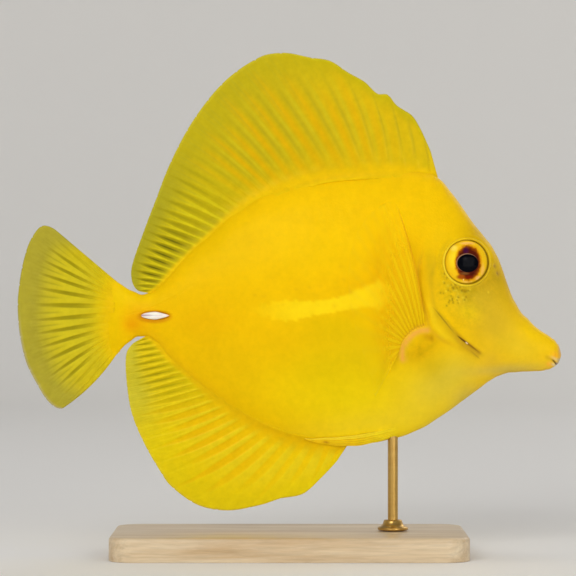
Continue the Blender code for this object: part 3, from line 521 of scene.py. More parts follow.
def painted_skin(x, z):
    """The skin's colours by place in the side view."""
    paint = plain("F5C504", len(x))
    for colour, place, reach, tilt, strength in SKIN_SPRAYS:
        paint = spray(paint, (colour, strength * bell(oval(x, z, place, reach, tilt))))
    ragged = 0.4 * np.sin(x * 1.9) + 0.3 * np.sin(x * 4.3 + 1.0) + 0.2 * np.sin(x * 9.1)
    middle, half = read(BAR, x), read([(row[0], row[2]) for row in BAR], x)
    bar = 1 - step(half - 0.5, half + 0.4, np.abs(z - middle) + ragged)
    edge, along = beside(x, z, COVER_EDGE)
    low_lip = step(0.35, 0.5, along) * (1 - step(0.74, 0.88, along))
    there = step(0.0, 0.15, along) * (1 - step(0.7, 0.85, along))
    paint = spray(
        paint,
        ("FFDA14", bar * step(-12.0, 8.0, x) ** 0.5 * (1 - step(29.9, 30.6, x))),
        # A darker line in the dip beside the gill cover's lip: painted shade.
        ("CC961A", (0.3 + 0.2 * low_lip) * there * bell(edge + 0.5, 0.6)),
        ("F6D41E", 0.5 * low_lip * bell(edge - 1.2, 1.2)))
    crease, along = beside(x, z, CHEEK_LINE)
    soft_part = step(0.42, 0.52, along) * (1 - step(0.97, 1.0, along))
    open_part = step(0.68, 0.8, along) * (1 - step(0.97, 1.0, along))
    paint = spray(
        paint,
        # The next four coats darken the cheek fold, its open slit and a band just below the slit: painted
        # shade.
        ("B8961E", 0.25 * step(0.0, 0.1, along) * (1 - soft_part) * bell(crease, 0.7)),
        ("BA941A", 0.6 * soft_part * bell(crease, np.where(crease < 0, 1.5, 0.35))),
        ("A8761A", 0.6 * open_part * bell(crease, 0.5)),
        ("C4921E", 0.5 * open_part * bell(crease + 1.2, 0.4)),
        ("F0A84E", 0.8 * bell(beside(x, z, FIN_ARC)[0], 0.75)),
        ("F4DC38", 0.7 * dots(x, z, EYE_SPECKS, 0.3)),
        ("94700E", 0.75 * dots(x, z, EYE_PORES, 0.3)),
        ("D6A312", 0.3 * dots(x, z, FLANK_FRECKLES, 0.55)))
    # A tan ring round each nostril is the skin's colour, and its pit is darker in the middle: painted shade.
    for place, size, _ in NOSTRILS:
        far = np.hypot(x - place[0], z - place[1])
        paint = spray(paint, ("C9A050", 0.6 * bell(far, 2 * size)), ("8A5E34", 0.8 * bell(far, 0.8 * size)))
    mouth, along = beside(x, z, MOUTH_LINE)
    hinge = (SPINE_PLACE[0] - 0.3, SPINE_PLACE[1] - 0.3)
    groove = (SPINE_SIZE[0] / 2 + 0.9, SPINE_SIZE[2] / 2 + 0.8)
    far = np.hypot(x - EYE_PLACE[0], z - EYE_PLACE[1])
    return spray(
        paint,
        ("D2A41E", 0.6 * (1 - step(0.3, 0.6, along)) * bell(mouth, 0.6)),
        # The mouth's slit dark: painted shade in the opening.
        ("4A3428", 0.95 * step(0.25, 0.5, along) * bell(mouth, 0.18)),
        ("CE7C0C", 0.7 * (1 - step(0.75, 1.2, oval(x, z, hinge, groove)))),
        # An olive arc round the back of the eye's ring and the skin darkened in the eye's hollow: painted
        # shade.
        ("C2A018", 0.3 * step(48.5, 45.5, x) * bell(far - 8.1, 0.6)),
        ("B08C0E", 0.85 * (1 - step(6.5, 6.95, far))))


def mottling(x, z):
    """How strongly the skin is mottled: most below and before the eye, a little on the cheek."""
    weight = np.full(x.shape, 0.14)
    for place, reach, strength in MOTTLED:
        weight = np.maximum(weight, strength * bell(oval(x, z, place, reach)))
    return weight


def oval_in(material, place, middle, half, tilt=0.0):
    """Nodes for how far a place is from an oval's centre, in its half lengths."""
    moved = add(material, "VectorMath", {0: place, 1: middle}, operation="SUBTRACT")
    turned = add(material, "VectorRotate", {"Vector": moved.outputs[0], "Angle": math.radians(tilt)},
                 rotation_type="Y_AXIS")
    shared = add(material, "VectorMath", {0: turned.outputs[0], 1: half}, operation="DIVIDE")
    return add(material, "VectorMath", {0: shared.outputs[0]}, operation="LENGTH").outputs["Value"]


def painted_over(material, base, colour, far, full, end, strength=1.0):
    """Nodes that lay a colour over a base, at its strength where far is full and gone where it is end."""
    weight = add(material, "MapRange",
                 {"Value": far, "From Min": full, "From Max": end, "To Min": strength, "To Max": 0.0},
                 interpolation_type="SMOOTHSTEP")
    mix = add(material, "Mix", {0: weight.outputs[0], 6: base, 7: linear(colour)}, data_type="RGBA")
    return mix.outputs[2]


def toned(material, base, pattern, span, tones):
    """Nodes that make a base darker and lighter by a pattern, whose span of values gives those tones."""
    low, high = tones
    tone = add(material, "MapRange",
               {"Value": pattern, "From Min": span[0], "From Max": span[1], "To Min": low, "To Max": high})
    return add(material, "VectorMath", {0: base, "Scale": tone.outputs[0]}, operation="SCALE").outputs[0]


def skin_material():
    """Velvety fish skin, thinly wet: a soft sheen tinted by its pigment, faint mottling, a scale grain."""
    material, shader = new_material(
        "wet_scaled_skin", Roughness=0.48, IOR=1.34, Specular_Tint=(1.0, 0.74, 0.06, 1.0),
        Subsurface_Weight=0.12, Subsurface_Scale=0.0015, Coat_Weight=0.03, Coat_Roughness=0.2, Coat_IOR=1.3)
    shader.inputs["Subsurface Radius"].default_value = (1.0, 0.6, 0.15)
    place = add(material, "TexCoord").outputs["Object"]
    paint = add(material, "Attribute", attribute_name="paint").outputs["Color"]
    clouds = add(material, "TexNoise",
                 {"Vector": place, "Scale": per(5.0), "Detail": 6.0, "Roughness": 0.6}).outputs["Fac"]
    tone = add(material, "MapRange",
               {"Value": clouds, "From Min": 0.3, "From Max": 0.7, "To Min": 0.96, "To Max": 1.03})
    blots = add(material, "TexNoise",
                {"Vector": place, "Scale": per(1.7), "Detail": 5.0, "Roughness": 0.7}).outputs["Fac"]
    blot = add(material, "MapRange",
               {"Value": blots, "From Min": 0.36, "From Max": 0.62, "To Min": -0.22, "To Max": 0.09})
    mottle = add(material, "Attribute", attribute_name="mottle").outputs["Fac"]
    both = add(material, "Math", {0: mottle, 1: blot.outputs[0], 2: tone.outputs[0]},
               operation="MULTIPLY_ADD")
    colour = add(material, "VectorMath", {0: paint, "Scale": both.outputs[0]}, operation="SCALE").outputs[0]
    # The dark fold and slit under the cheek are painted shade, with a painted glint in the slit.
    for hue, middle, half, tilt, strength in SLIT:
        far = oval_in(material, place, (middle[0] * MM, 0.0, middle[1] * MM),
                      (half[0] * MM, 1.0, half[1] * MM), tilt)
        colour = painted_over(material, colour, hue, far, 0.4, 1.15, strength)
    link(material, colour, shader.inputs["Base Color"])
    # The real scales are about 0.3 mm, too fine to show here, so the grain is drawn at 0.6 mm.
    scales = add(material, "TexVoronoi", {"Vector": place, "Scale": per(0.6)}).outputs["Distance"]
    grain = add(material, "TexNoise", {"Vector": place, "Scale": per(1.6), "Detail": 3.0})
    mixed = add(material, "Math", {0: scales, 1: grain.outputs["Fac"]}, operation="ADD").outputs[0]
    bump = add(material, "Bump", {"Height": mixed, "Strength": 0.35, "Distance": GRAIN_DEPTH * MM})
    link(material, bump.outputs[0], shader.inputs["Normal"])
    return material


skin = skin_mesh()
skin_places = corners_of(skin)
x, _, z = skin_places.T
skin_rise = relief(x, z) * step(0.1, 0.55, np.abs(normals_of(skin)[:, 1]))
set_corners(skin, skin_places + normals_of(skin) * skin_rise[:, None])
store(skin, "paint", painted_skin(x, z))
store(skin, "mottle", mottling(x, z))
SKIN = skin_material()
put("skin", skin, SKIN, "skin", "head", "trunk", "tail_stalk", "upper_jaw", "lower_jaw", "gill_cover_left",
    "gill_cover_right")

# The eye rings
# Round each eye the skin is drawn up into a thin raised ring, which holds the eyeball and lies on the
# slope of the head. It is the same skin, with a painted highlight along its crest, brightest behind the
# eye, and painted shade in the fold inside it.

RING_RADIUS = 6.84
RING_HALF = (0.42, 0.36)
RING_CORNERS = 20
RING_STEPS = 144
RING_LIFT = 0.1


def spun(profile, steps, closed=False):
    """A shape turned about the upright axis from (radius, height) points, with its doubles merged."""
    shape = bmesh.new()
    points = [shape.verts.new((radius, 0.0, height)) for radius, height in profile]
    pairs = zip(points[-1:] + points, points) if closed else zip(points, points[1:])
    edges = [shape.edges.new(pair) for pair in pairs]
    bmesh.ops.spin(shape, geom=[*points, *edges], cent=(0, 0, 0), axis=(0, 0, 1), angle=math.tau,
                   steps=steps, use_merge=True)
    bmesh.ops.remove_doubles(shape, verts=shape.verts, dist=0.001)
    return shape


def eye_ring():
    """The left ring, turned flat and then laid on the slope of the head."""
    turns = [math.tau * k / RING_CORNERS for k in range(RING_CORNERS)]
    wide, high = RING_HALF
    profile = [(RING_RADIUS + wide * math.cos(turn), high * math.sin(turn)) for turn in turns]
    mesh = as_mesh("eye_ring_left", spun(profile, RING_STEPS, closed=True))
    flat = corners_of(mesh)
    place, outward = flank(EYE_PLACE[0] + flat[:, 0], EYE_PLACE[1] + flat[:, 1])
    set_corners(mesh, place + outward * (flat[:, 2:] + RING_LIFT))
    far = np.hypot(flat[:, 0], flat[:, 1])
    behind = step(0.2, 0.9, (-flat[:, 0] - 0.6 * flat[:, 1]) / far)
    paint = spray(
        painted_skin(place[:, 0] + 0.9 * flat[:, 0] / far, place[:, 2] + 0.9 * flat[:, 1] / far),
        # A painted highlight along the ring's crest, brightest behind the eye.
        ("F8DA34", (0.25 + 0.5 * behind) * step(0.1, 0.33, flat[:, 2])),
        # Olive on the ring's inner edge: painted shade in the fold against the eyeball.
        ("A8820E", 0.75 * (1 - step(RING_RADIUS - 0.4, RING_RADIUS - 0.12, far))))
    store(mesh, "paint", paint)
    store(mesh, "mottle", np.full(len(far), 0.2))
    return mesh


put_pair("eye_ring", eye_ring(), SKIN, "skin")

# The eyes
# A tang's eye is a shallow dome behind a clear cornea: a near-black round pupil low in an upright oval
# of red-brown, and a golden iris. Each is a glass-like eye with its colours under a glossy clear coat,
# and with a painted reflection on the iris and painted highlights on the pupil.

EYE_DOME = 2.25
EYE_DEPTH = 4.2
EYE_SINK = 0.6
EYE_SEGMENTS = 96
HALO_PLACE = (0.37, -0.16)
HALO_SIZE = (3.85, 5.2)

# Painted ovals from the eye's centre: colour, place and half lengths, and where each is full and where gone
IRIS_PATCHES = (
    ("FFDC1E", (-3.6, 1.0), (2.2, 3.8), 0.2, 1.2),
    ("FFE052", (-3.9, 4.2), (1.3, 1.2), 0.2, 1.2),
    ("FFC45E", (0.2, 5.5), (2.4, 0.5), 0.3, 1.2),
    # The next three pale patches along the lower right and the bottom of the rim are a painted reflection.
    ("FAC24E", (4.6, -2.4), (0.8, 2.4), 0.2, 1.2),
    ("FFC668", (3.0, -4.6), (1.7, 0.8), 0.2, 1.2),
    ("FFCE56", (0.2, -5.75), (2.0, 0.4), 0.2, 1.2),
    # A dark olive ring at the iris's edge: painted shade where the eyeball meets the ring.
    ("A8860E", (-0.3, 0.2), (6.25, 6.25), 1.04, 0.96),
)
HALO_BANDS = (("E29A0C", 0.96, 1.14), ("8E4208", 0.88, 1.02), ("54190A", 0.72, 0.93))
PUPIL_PATCHES = (
    ("A8500E", (-1.8, -4.3), (1.6, 0.9), 0.3, 1.2),
    ("7A2008", (0.5, -4.4), (1.4, 0.7), 0.3, 1.2),
    ("7A4A20", (-0.7, -3.3), (1.6, 0.5), 0.3, 1.2),
    ("451238", (-0.3, 3.4), (0.9, 1.2), 0.2, 1.3),
    # A tiny painted glint low on the iris.
    ("FFE2A0", (-1.05, -5.1), (0.16, 0.3), 0.3, 1.2),
    # A pale tan oval under the pupil, left showing along its upper left edge: a painted highlight.
    ("9A7052", (0.06, -0.16), (3.14, 2.66), 1.0, 1.05),
    ("04050B", (0.24, -0.3), (3.14, 2.66), 0.97, 1.03),
    # A soft grey spot in the pupil: a painted highlight.
    ("17171B", (-0.5, 1.0), (0.8, 0.7), 0.1, 1.2),
)


def eyeball():
    """A lens-shaped ball that looks out of the left flank, with its side-view place kept for the paint."""
    ball = bmesh.new()
    bmesh.ops.create_uvsphere(ball, u_segments=EYE_SEGMENTS, v_segments=EYE_SEGMENTS // 2, radius=1.0)
    mesh = as_mesh("eyeball_left", ball)
    unit = corners_of(mesh)
    depth = np.where(unit[:, 2] > 0, EYE_DOME, EYE_DEPTH)
    local = unit * np.stack([np.full(len(unit), EYE_RADIUS), np.full(len(unit), EYE_RADIUS), depth], axis=-1)
    place, outward = flank(*EYE_PLACE)
    turn = Vector((0.0, 0.0, 1.0)).rotation_difference(Vector(outward)).to_matrix()
    places = local @ np.array(turn).T + place - outward * EYE_SINK
    set_corners(mesh, places)
    disc = np.zeros((len(unit), 4))
    disc[:, 0] = places[:, 0] - place[0]
    disc[:, 1] = places[:, 2] - place[2]
    disc[:, 3] = 1.0
    store(mesh, "disc", disc)
    return mesh


def eye_material():
    """Painted iris under clear cornea: sharp bright reflections over golden, red-brown and blue-black."""
    material, shader = new_material(
        "eye_under_cornea", Roughness=0.35, Specular_IOR_Level=0.01, Coat_Weight=0.07, Coat_Roughness=0.03,
        Coat_IOR=1.3)
    disc = add(material, "Attribute", attribute_name="disc").outputs["Vector"]

    def patched(base, patches):
        for hue, place, size, full, end in patches:
            far = oval_in(material, disc, (*place, 0.0), (*size, 1.0))
            base = painted_over(material, base, hue, far, full, end)
        return base

    noise = add(material, "TexNoise",
                {"Vector": disc, "Scale": 0.9, "Detail": 5.0, "Roughness": 0.65}).outputs["Fac"]
    wobble = add(material, "MapRange",
                 {"Value": noise, "From Min": 0.3, "From Max": 0.7, "To Min": -0.07, "To Max": 0.07})
    halo = oval_in(material, disc, (*HALO_PLACE, 0.0), (*HALO_SIZE, 1.0))
    ragged = add(material, "Math", {0: halo, 1: wobble.outputs[0]}, operation="ADD").outputs[0]
    colour = patched(linear("F4C418"), IRIS_PATCHES)
    for hue, full, end in HALO_BANDS:
        colour = painted_over(material, colour, hue, ragged, full, end)
    link(material, patched(colour, PUPIL_PATCHES), shader.inputs["Base Color"])
    return material


put_pair("eyeball", eyeball(), eye_material(), "eye", "eye_left", "eye_right")

# The dorsal, anal and tail fins
# Each is a double sheet of thin skin on bony rays, which show as raised lines with the web sunk between
# them. The first few rays are plain spines and the rest fork towards the edge, where the web is a
# little scalloped. The colour runs from golden at the root to olive at the edge.

FIN_COLUMNS = 16
FIN_ROWS = 60
WEB_HALF = 0.15
RAY_HALF = 0.47
RAY_TAPER = 0.4
EDGE_SCALLOP = 0.006
FIN_WAVE = 0.25

# Each fin has its root and edge in the side view. Its fan says where each share of the root lands on the
# edge, its bow how far a ray bends on the way and its spacing where along the root each ray starts. The
# web and gaps say how wide the web is, raised how far the rays stand out, and foot how thick the web is
# at the root, where the sheet starts a little inside the body (sunk).
DORSAL = {
    "root": (
        (43.8, 110.9), (35.5, 112.9), (26.7, 113.0), (17.9, 112.4), (9.1, 111.3), (-2.7, 108.0),
        (-13.9, 102.3), (-23.6, 94.4), (-33.3, 85.0), (-38.0, 79.6), (-41.6, 77.0),
    ),
    "edge": (
        (43.8, 111.2), (42.2, 117.2), (40.4, 121.6), (38.4, 125.8), (36.0, 129.4), (31.7, 132.2),
        (29.0, 135.4), (25.8, 135.8), (22.2, 139.2), (17.3, 142.0), (12.0, 145.4), (6.1, 146.4),
        (-0.4, 147.7), (-5.7, 147.4), (-9.2, 146.2), (-14.5, 143.0), (-19.8, 138.6), (-25.1, 132.4),
        (-30.4, 124.4), (-35.7, 113.8), (-39.2, 104.7), (-42.8, 95.3), (-46.2, 85.4), (-46.4, 80.9),
        (-44.9, 78.0), (-41.9, 77.0),
    ),
    "fan": (
        (0.0, 0.05), (0.05, 0.125), (0.105, 0.186), (0.15, 0.235), (0.2, 0.315), (0.25, 0.392),
        (0.31, 0.458), (0.374, 0.508), (0.43, 0.552), (0.48, 0.602), (0.53, 0.652), (0.6, 0.716),
        (0.67, 0.768), (0.74, 0.819), (0.81, 0.861), (0.86, 0.889), (0.91, 0.923), (0.95, 0.956),
        (1.0, 0.99),
    ),
    "bow": ((0.0, 0.0), (0.1, 0.03), (0.3, 0.02), (0.5, 0.024), (0.7, 0.017), (0.85, 0.004), (1.0, 0.0)),
    "spacing": (
        (0.0, 0.0), (2.5, 0.105), (4.5, 0.186), (6.5, 0.266), (8.5, 0.372), (10.5, 0.462), (12.5, 0.531),
        (16.5, 0.669), (20.5, 0.781), (22.5, 0.836), (24.5, 0.886), (26.5, 0.929), (28.5, 0.967),
        (30.0, 1.0),
    ),
    "web": ((0.0, 0.32), (0.35, 0.29), (0.6, 0.22), (0.8, 0.1), (1.0, 0.05)),
    "gaps": ((0.0, 0.4), (9.0, 0.5), (16.0, 1.0), (30.0, 1.0)),
    "raised": ((0.0, 0.5), (12.0, 0.45), (18.0, 0.9), (30.0, 0.9)),
    "foot": ((0.0, 0.9), (4.0, 1.33), (11.0, 1.25), (15.0, 1.12), (20.0, 1.08), (25.0, 0.92), (30.0, 0.4)),
    "foot_reach": 4.8,
    "sunk": 2.6,
    "spines": 5,
}
ANAL = {
    "root": (
        (17.0, 32.0), (10.5, 32.2), (3.5, 33.2), (-3.9, 35.4), (-9.5, 37.9), (-15.1, 41.2), (-19.8, 44.6),
        (-25.7, 49.1), (-30.4, 53.2), (-35.1, 57.4), (-40.1, 63.2), (-42.6, 64.2),
    ),
    "edge": (
        (17.0, 31.6), (14.1, 27.6), (9.1, 22.3), (4.0, 17.9), (-2.7, 16.5), (-8.6, 14.6), (-18.0, 13.0),
        (-26.9, 14.6), (-34.5, 19.9), (-38.0, 24.6), (-42.8, 32.9), (-46.3, 41.4), (-47.8, 49.9),
        (-48.1, 58.4), (-46.4, 61.8), (-43.3, 63.9),
    ),
    "fan": (
        (0.0, 0.045), (0.045, 0.11), (0.095, 0.178), (0.182, 0.318), (0.23, 0.396), (0.286, 0.474),
        (0.342, 0.538), (0.393, 0.588), (0.45, 0.63), (0.492, 0.666), (0.537, 0.702), (0.606, 0.757),
        (0.68, 0.8), (0.756, 0.842), (0.83, 0.882), (0.89, 0.921), (0.93, 0.95), (1.0, 0.975),
    ),
    "bow": ((0.0, 0.0), (0.2, -0.03), (0.45, -0.03), (0.6, -0.018), (0.75, -0.003), (1.0, 0.0)),
    "spacing": (
        (0.0, 0.0), (3.5, 0.185), (7.5, 0.395), (11.5, 0.575), (15.5, 0.725), (19.5, 0.86), (22.5, 0.948),
        (24.0, 1.0),
    ),
    "web": ((0.0, 0.32), (0.35, 0.28), (0.6, 0.2), (0.8, 0.1), (1.0, 0.05)),
    "gaps": ((0.0, 0.6), (8.0, 1.0), (24.0, 0.9)),
    "raised": ((0.0, 0.25), (6.0, 0.5), (13.0, 0.85), (24.0, 0.85)),
    "foot": ((0.0, 1.1), (5.0, 1.16), (12.0, 1.1), (16.0, 1.0), (20.0, 0.88), (24.0, 0.35)),
    "foot_reach": 4.8,
    "sunk": 2.6,
    "spines": 3,
}
TAIL = {
    "root": ((-51.0, 80.6), (-52.8, 75.2), (-53.3, 69.0), (-52.8, 62.8), (-51.0, 58.7)),
    "edge": (
        (-52.6, 80.6), (-56.9, 85.2), (-62.2, 89.9), (-67.2, 94.4), (-70.6, 96.6), (-73.4, 96.4),
        (-76.3, 92.3), (-78.1, 87.0), (-79.3, 80.9), (-79.95, 73.5), (-79.3, 64.7), (-77.5, 56.7),
        (-74.6, 50.8), (-71.2, 45.4), (-67.6, 43.0), (-64.0, 44.6), (-58.7, 49.6), (-53.6, 55.6),
        (-52.2, 57.2),
    ),
    "fan": (
        (0.0, 0.205), (0.07, 0.235), (0.11, 0.26), (0.142, 0.287), (0.177, 0.332), (0.217, 0.376),
        (0.272, 0.424), (0.345, 0.478), (0.45, 0.526), (0.556, 0.568), (0.636, 0.616), (0.706, 0.664),
        (0.753, 0.712), (0.8, 0.752), (0.87, 0.782), (1.0, 0.81),
    ),
    "bow": ((0.0, 0.0), (0.5, 0.0), (0.85, 0.0), (1.0, -0.05)),
    "spacing": (
        (0.0, 0.0), (1.5, 0.095), (2.5, 0.142), (3.5, 0.177), (4.5, 0.217), (5.5, 0.272), (6.5, 0.345),
        (7.5, 0.45), (8.5, 0.556), (9.5, 0.636), (10.5, 0.706), (11.5, 0.753), (12.5, 0.8), (13.5, 0.87),
        (15.0, 1.0),
    ),
    "web": ((0.0, 0.16), (0.2, 0.2), (0.45, 0.17), (0.7, 0.1), (1.0, 0.05)),
    "raised": ((0.0, 0.7), (15.0, 0.7)),
    "foot": ((0.0, 0.1), (1.5, 0.22), (5.0, 0.46), (10.0, 0.46), (13.5, 0.22), (15.0, 0.1)),
    "foot_reach": 5.0,
    "sunk": 1.8,
    "spines": 0,
}


def fin_path(fin):
    """A function that follows the rays in the side view, by shares across the fin and along each ray."""
    root, edge = smooth_line(fin["root"]), smooth_line(fin["edge"])

    def along_line(line, share):
        run = np.concatenate([[0.0], np.cumsum(np.hypot(*np.diff(line, axis=0).T))])
        return np.stack([np.interp(share * run[-1], run, line[:, k]) for k in (0, 1)], axis=-1)

    def path(across, along):
        start = along_line(root, across)
        chord = along_line(edge, read(fin["fan"], across)) - start
        bow = read(fin["bow"], across) * 4 * np.clip(along, 0, 1) * (1 - np.clip(along, 0, 1))
        aside = np.stack([chord[:, 1], -chord[:, 0]], axis=-1) * bow[:, None]
        return start + chord * along[:, None] + aside

    return path


def fin_grid(name, fin):
    """A closed double sheet, with each corner's ray number, share along the ray and side, 1 or -1."""
    last_ray = fin["spacing"][-1][0]
    sheet = bmesh.new()
    bmesh.ops.create_grid(sheet, x_segments=int(FIN_COLUMNS * last_ray), y_segments=FIN_ROWS, size=0.5)
    made = bmesh.ops.extrude_face_region(sheet, geom=sheet.faces[:])
    lifted = [item for item in made["geom"] if isinstance(item, bmesh.types.BMVert)]
    bmesh.ops.translate(sheet, verts=lifted, vec=(0.0, 0.0, 1.0))
    mesh = as_mesh(name, sheet)
    flat = corners_of(mesh)
    return mesh, (flat[:, 0] + 0.5) * last_ray, flat[:, 1] + 0.5, np.where(flat[:, 2] > 0.5, 1.0, -1.0)


def ray_lines(fin, number, along):
    """1 on the rays and 0 in the web between them, and 1 in the grooves where the soft rays fork."""
    offset = number - np.rint(number)
    half = read(fin["web"], along) * read(fin.get("gaps", ((0.0, 1.0), (1.0, 1.0))), number)
    band = step(half * 0.65, half * 1.35, 0.5 - np.abs(offset))
    soft = np.where(np.rint(number) < fin["spines"], 0.0, 1.0)
    fork = bell(offset, 0.07) * step(0.42, 0.62, along)
    twig = 0.8 * bell(np.abs(offset) - 0.24, 0.05) * step(0.7, 0.85, along)
    return band, soft * np.maximum(fork, twig)


def upright_fin(name, fin, coloured):
    """A fin in the fish's middle plane, painted by the given function."""
    mesh, number, along, side = fin_grid(name, fin)
    across = read(fin["spacing"], number)
    path = fin_path(fin)
    length = np.hypot(*(path(across, np.ones(len(across))) - path(across, np.zeros(len(across)))).T)
    along = along * (1 + fin["sunk"] / length) - fin["sunk"] / length
    out = along * length
    band, split = ray_lines(fin, number, np.clip(along, 0, 1))
    flat = path(across, along * (1 - EDGE_SCALLOP * (1 - band) * step(0.8, 1.0, along)))
    reach = np.minimum(fin["foot_reach"], 0.35 * length)
    web_half = WEB_HALF + read(fin["foot"], number) * np.clip(1 - out / reach, 0, 1.45) ** 2
    ray_half = (RAY_HALF - RAY_TAPER * np.clip(along, 0, 1)) * step(0.0, 0.15, along)
    ray_half = np.maximum(ray_half * read(fin["raised"], number), 0.04)
    half = web_half + ray_half * band * (1 - 0.5 * split)
    near_edge = np.minimum(np.minimum(across, 1 - across) * 60, (1 - along) * 40)
    half = half * (0.35 + 0.65 * np.clip(near_edge, 0, 1))
    wave = FIN_WAVE * step(0.25, 1.0, along) * np.sin(number * 1.1 + 2.5 * along)
    shaped(mesh, np.stack([flat[:, 0], side * half + wave, flat[:, 1]], axis=-1))
    store(mesh, "paint", coloured(number, along, out, band, split))
    return mesh


def spindle(along, start, end):
    """1 in the middle of a stretch and 0 at its ends."""
    return np.sin(math.pi * np.clip((along - start) / (end - start), 0.0, 1.0)) ** 0.8


def varied(seed, number):
    """A seeded number from 0 to 1 for each gap between two rays."""
    draw = random.Random(seed)
    table = np.array([draw.random() for _ in range(40)])
    return table[np.clip(np.floor(number), 0, 39).astype(int)]


def dorsal_colours(number, along, out, band, split):
    """Orange on the middle rays with greenish gaps, olive and dark green gaps between yellow rays behind."""
    web = 1 - band
    offset = number - np.rint(number)
    gap = 0.5 - np.abs(offset)
    rear = step(12.0, 19.0, number)
    front = 1 - step(4.0, 9.0, number)
    crest = np.maximum(band, 0.8 * bell(offset, 0.24))
    middle = step(1.0, 6.0, number) * (1 - step(11.5, 16.0, number))
    orange = middle * spindle(along, -0.1, 0.75 + 0.2 * varied(5, number + 0.5))
    middle = middle * spindle(along, 0.08, 0.85)
    lines = np.maximum(middle, 0.8 * front * spindle(along, 0.2, 0.95))
    valley = web * bell(gap, 0.34) * step(14.0, 18.0, number) * spindle(along, -0.15, 0.85)
    thin = step(12.5, 16.0, number) * spindle(along, 0.3 + 0.1 * varied(6, number + 0.5), 0.98)
    deep = step(19.5, 22.0, number) * (1 - step(26.5, 29.0, number)) * spindle(along, 0.12, 0.72)
    return spray(
        plain("C3B010", len(number)),
        ("DDB90A", 0.9 * (1 - step(0.0, 0.3, along)) * (1 - 0.75 * rear)),
        ("DCBC10", 0.8 * front * (1 - step(0.7, 1.0, along))),
        ("A59E24", (0.25 + 0.6 * rear) * step(0.5, 0.95, along) * (1 - front)),
        ("DCCE1C", 0.8 * crest * rear * (1 - step(0.4, 0.85, along))),
        ("E0B002", 0.8 * orange * bell(offset + 0.08, 0.24)),
        ("CEBE20", 0.7 * middle * bell(offset - 0.28, 0.1)),
        ("B2A01C", 0.65 * lines * bell(gap, 0.1)),
        ("AC9C10", 0.85 * valley),
        ("86800E", 0.5 * web * step(18.0, 21.0, number) * spindle(along, 0.1, 0.8)),
        ("8F8A12", 0.55 * thin * bell(gap, 0.13)),
        ("333A08", 0.85 * deep * bell(gap, 0.1)),
        ("A8A22A", 0.3 * split * (1 - front)),
        ("F4C80A", 0.9 * (1 - step(-0.5, 3.4 - 2.0 * rear, out))),
        ("D2C436", 0.5 * step(0.975, 1.0, along)))


def anal_colours(number, along, out, band, split):
    """Golden in front, with orange gaps, and yellow with olive gaps and an olive edge behind."""
    web = 1 - band
    rear = step(12.0, 18.0, number + 3 * along)
    middle = (0.35 + 0.65 * step(3.0, 7.0, number)) * (1 - step(11.0, 15.0, number))
    middle = middle * spindle(along, -0.05, 0.7 + 0.3 * varied(9, number))
    gap = 0.5 - np.abs(number - np.rint(number))
    deep = step(12.0, 17.0, number) * spindle(along, 0.06, 0.85)
    return spray(
        plain("E4CA0C", len(number)),
        ("F4D20C", 0.8 * (1 - step(6.0, 12.0, number)) * (1 - step(0.3, 0.9, along))),
        ("DEC812", 0.6 * step(0.6, 1.0, along)),
        ("E6CA1E", 0.7 * step(0.4, 0.8, along) * step(12.0, 15.0, number) * (1 - rear)),
        ("C6BC34", 0.8 * step(0.45, 0.85, along) * rear),
        ("E2CC20", 0.6 * band * (1 - step(0.4, 0.8, along))),
        ("EAB606", 0.75 * web * middle),
        ("C8B20E", 0.7 * web * step(10.0, 14.0, number) * spindle(along, -0.02, 0.9)),
        ("8E860E", 0.8 * deep * bell(gap, 0.16)),
        ("AFA61E", 0.3 * split * step(8.0, 16.0, number)),
        ("EEC20A", 0.9 * (1 - step(-0.5, 4.0 - 2.4 * step(10.0, 16.0, number), out))),
        ("E8D250", 0.5 * step(0.975, 1.0, along)))


def tail_colours(number, along, out, band, split):
    """Golden at the root and olive at the edge, with dark gaps on all but the outermost rays."""
    outward = np.abs(number - 7.5) / 7.5
    inner = 1 - step(0.6, 0.92, outward)
    start = 0.12 + 0.3 * outward ** 2
    return spray(
        plain("CCB81A", len(number)),
        ("E2C40C", 1 - step(0.0, 0.3, along)),
        ("EEC20A", 1 - step(-1.5, 3.5, out)),
        ("AAA034", 0.95 * step(0.5, 0.84, along)),
        ("D4C626", 0.6 * band * inner * spindle(along, 0.1, 0.8)),
        ("8C8410", 0.85 * (1 - band) * inner * spindle(along, start, 0.82)),
        ("989020", 0.6 * split * inner * spindle(along, 0.48, 0.9)),
        ("B9B0A8", 0.55 * step(0.97, 1.0, along) * step(6.0, 9.0, number)))


def fin_material():
    """Thin fin skin: satin, a little see-through to light from behind, with fine marks on the rays."""
    material, shader = new_material(
        "fin_skin_on_rays", Roughness=0.42, IOR=1.36, Specular_Tint=(1.0, 0.8, 0.06, 1.0),
        Subsurface_Weight=0.25, Subsurface_Scale=0.0012, Coat_Weight=0.04, Coat_Roughness=0.2, Coat_IOR=1.33)
    shader.inputs["Subsurface Radius"].default_value = (1.0, 0.8, 0.2)
    place = add(material, "TexCoord").outputs["Object"]
    paint = add(material, "Attribute", attribute_name="paint").outputs["Color"]
    clouds = add(material, "TexNoise",
                 {"Vector": place, "Scale": per(2.4), "Detail": 6.0, "Roughness": 0.65}).outputs["Fac"]
    link(material, toned(material, paint, clouds, (0.3, 0.7), (0.92, 1.06)), shader.inputs["Base Color"])
    joints = add(material, "TexNoise", {"Vector": place, "Scale": per(0.7), "Detail": 2.0}).outputs["Fac"]
    bump = add(material, "Bump", {"Height": joints, "Strength": 0.3, "Distance": GRAIN_DEPTH * MM})
    link(material, bump.outputs[0], shader.inputs["Normal"])
    return material


FIN = fin_material()
put("dorsal_sail", upright_fin("dorsal_sail", DORSAL, dorsal_colours), FIN, "fin", "dorsal_fin")
put("anal_sail", upright_fin("anal_sail", ANAL, anal_colours), FIN, "fin", "anal_fin")
put("tail_fan", upright_fin("tail_fan", TAIL, tail_colours), FIN, "fin", "tail_fin")

# The pectoral fins
# Each springs from a fleshy lobe behind the gill cover and stands off the flank as a curved fan. Its web
# is clear as film, so that the flank shows through, and only the golden rays and the front edge are solid.

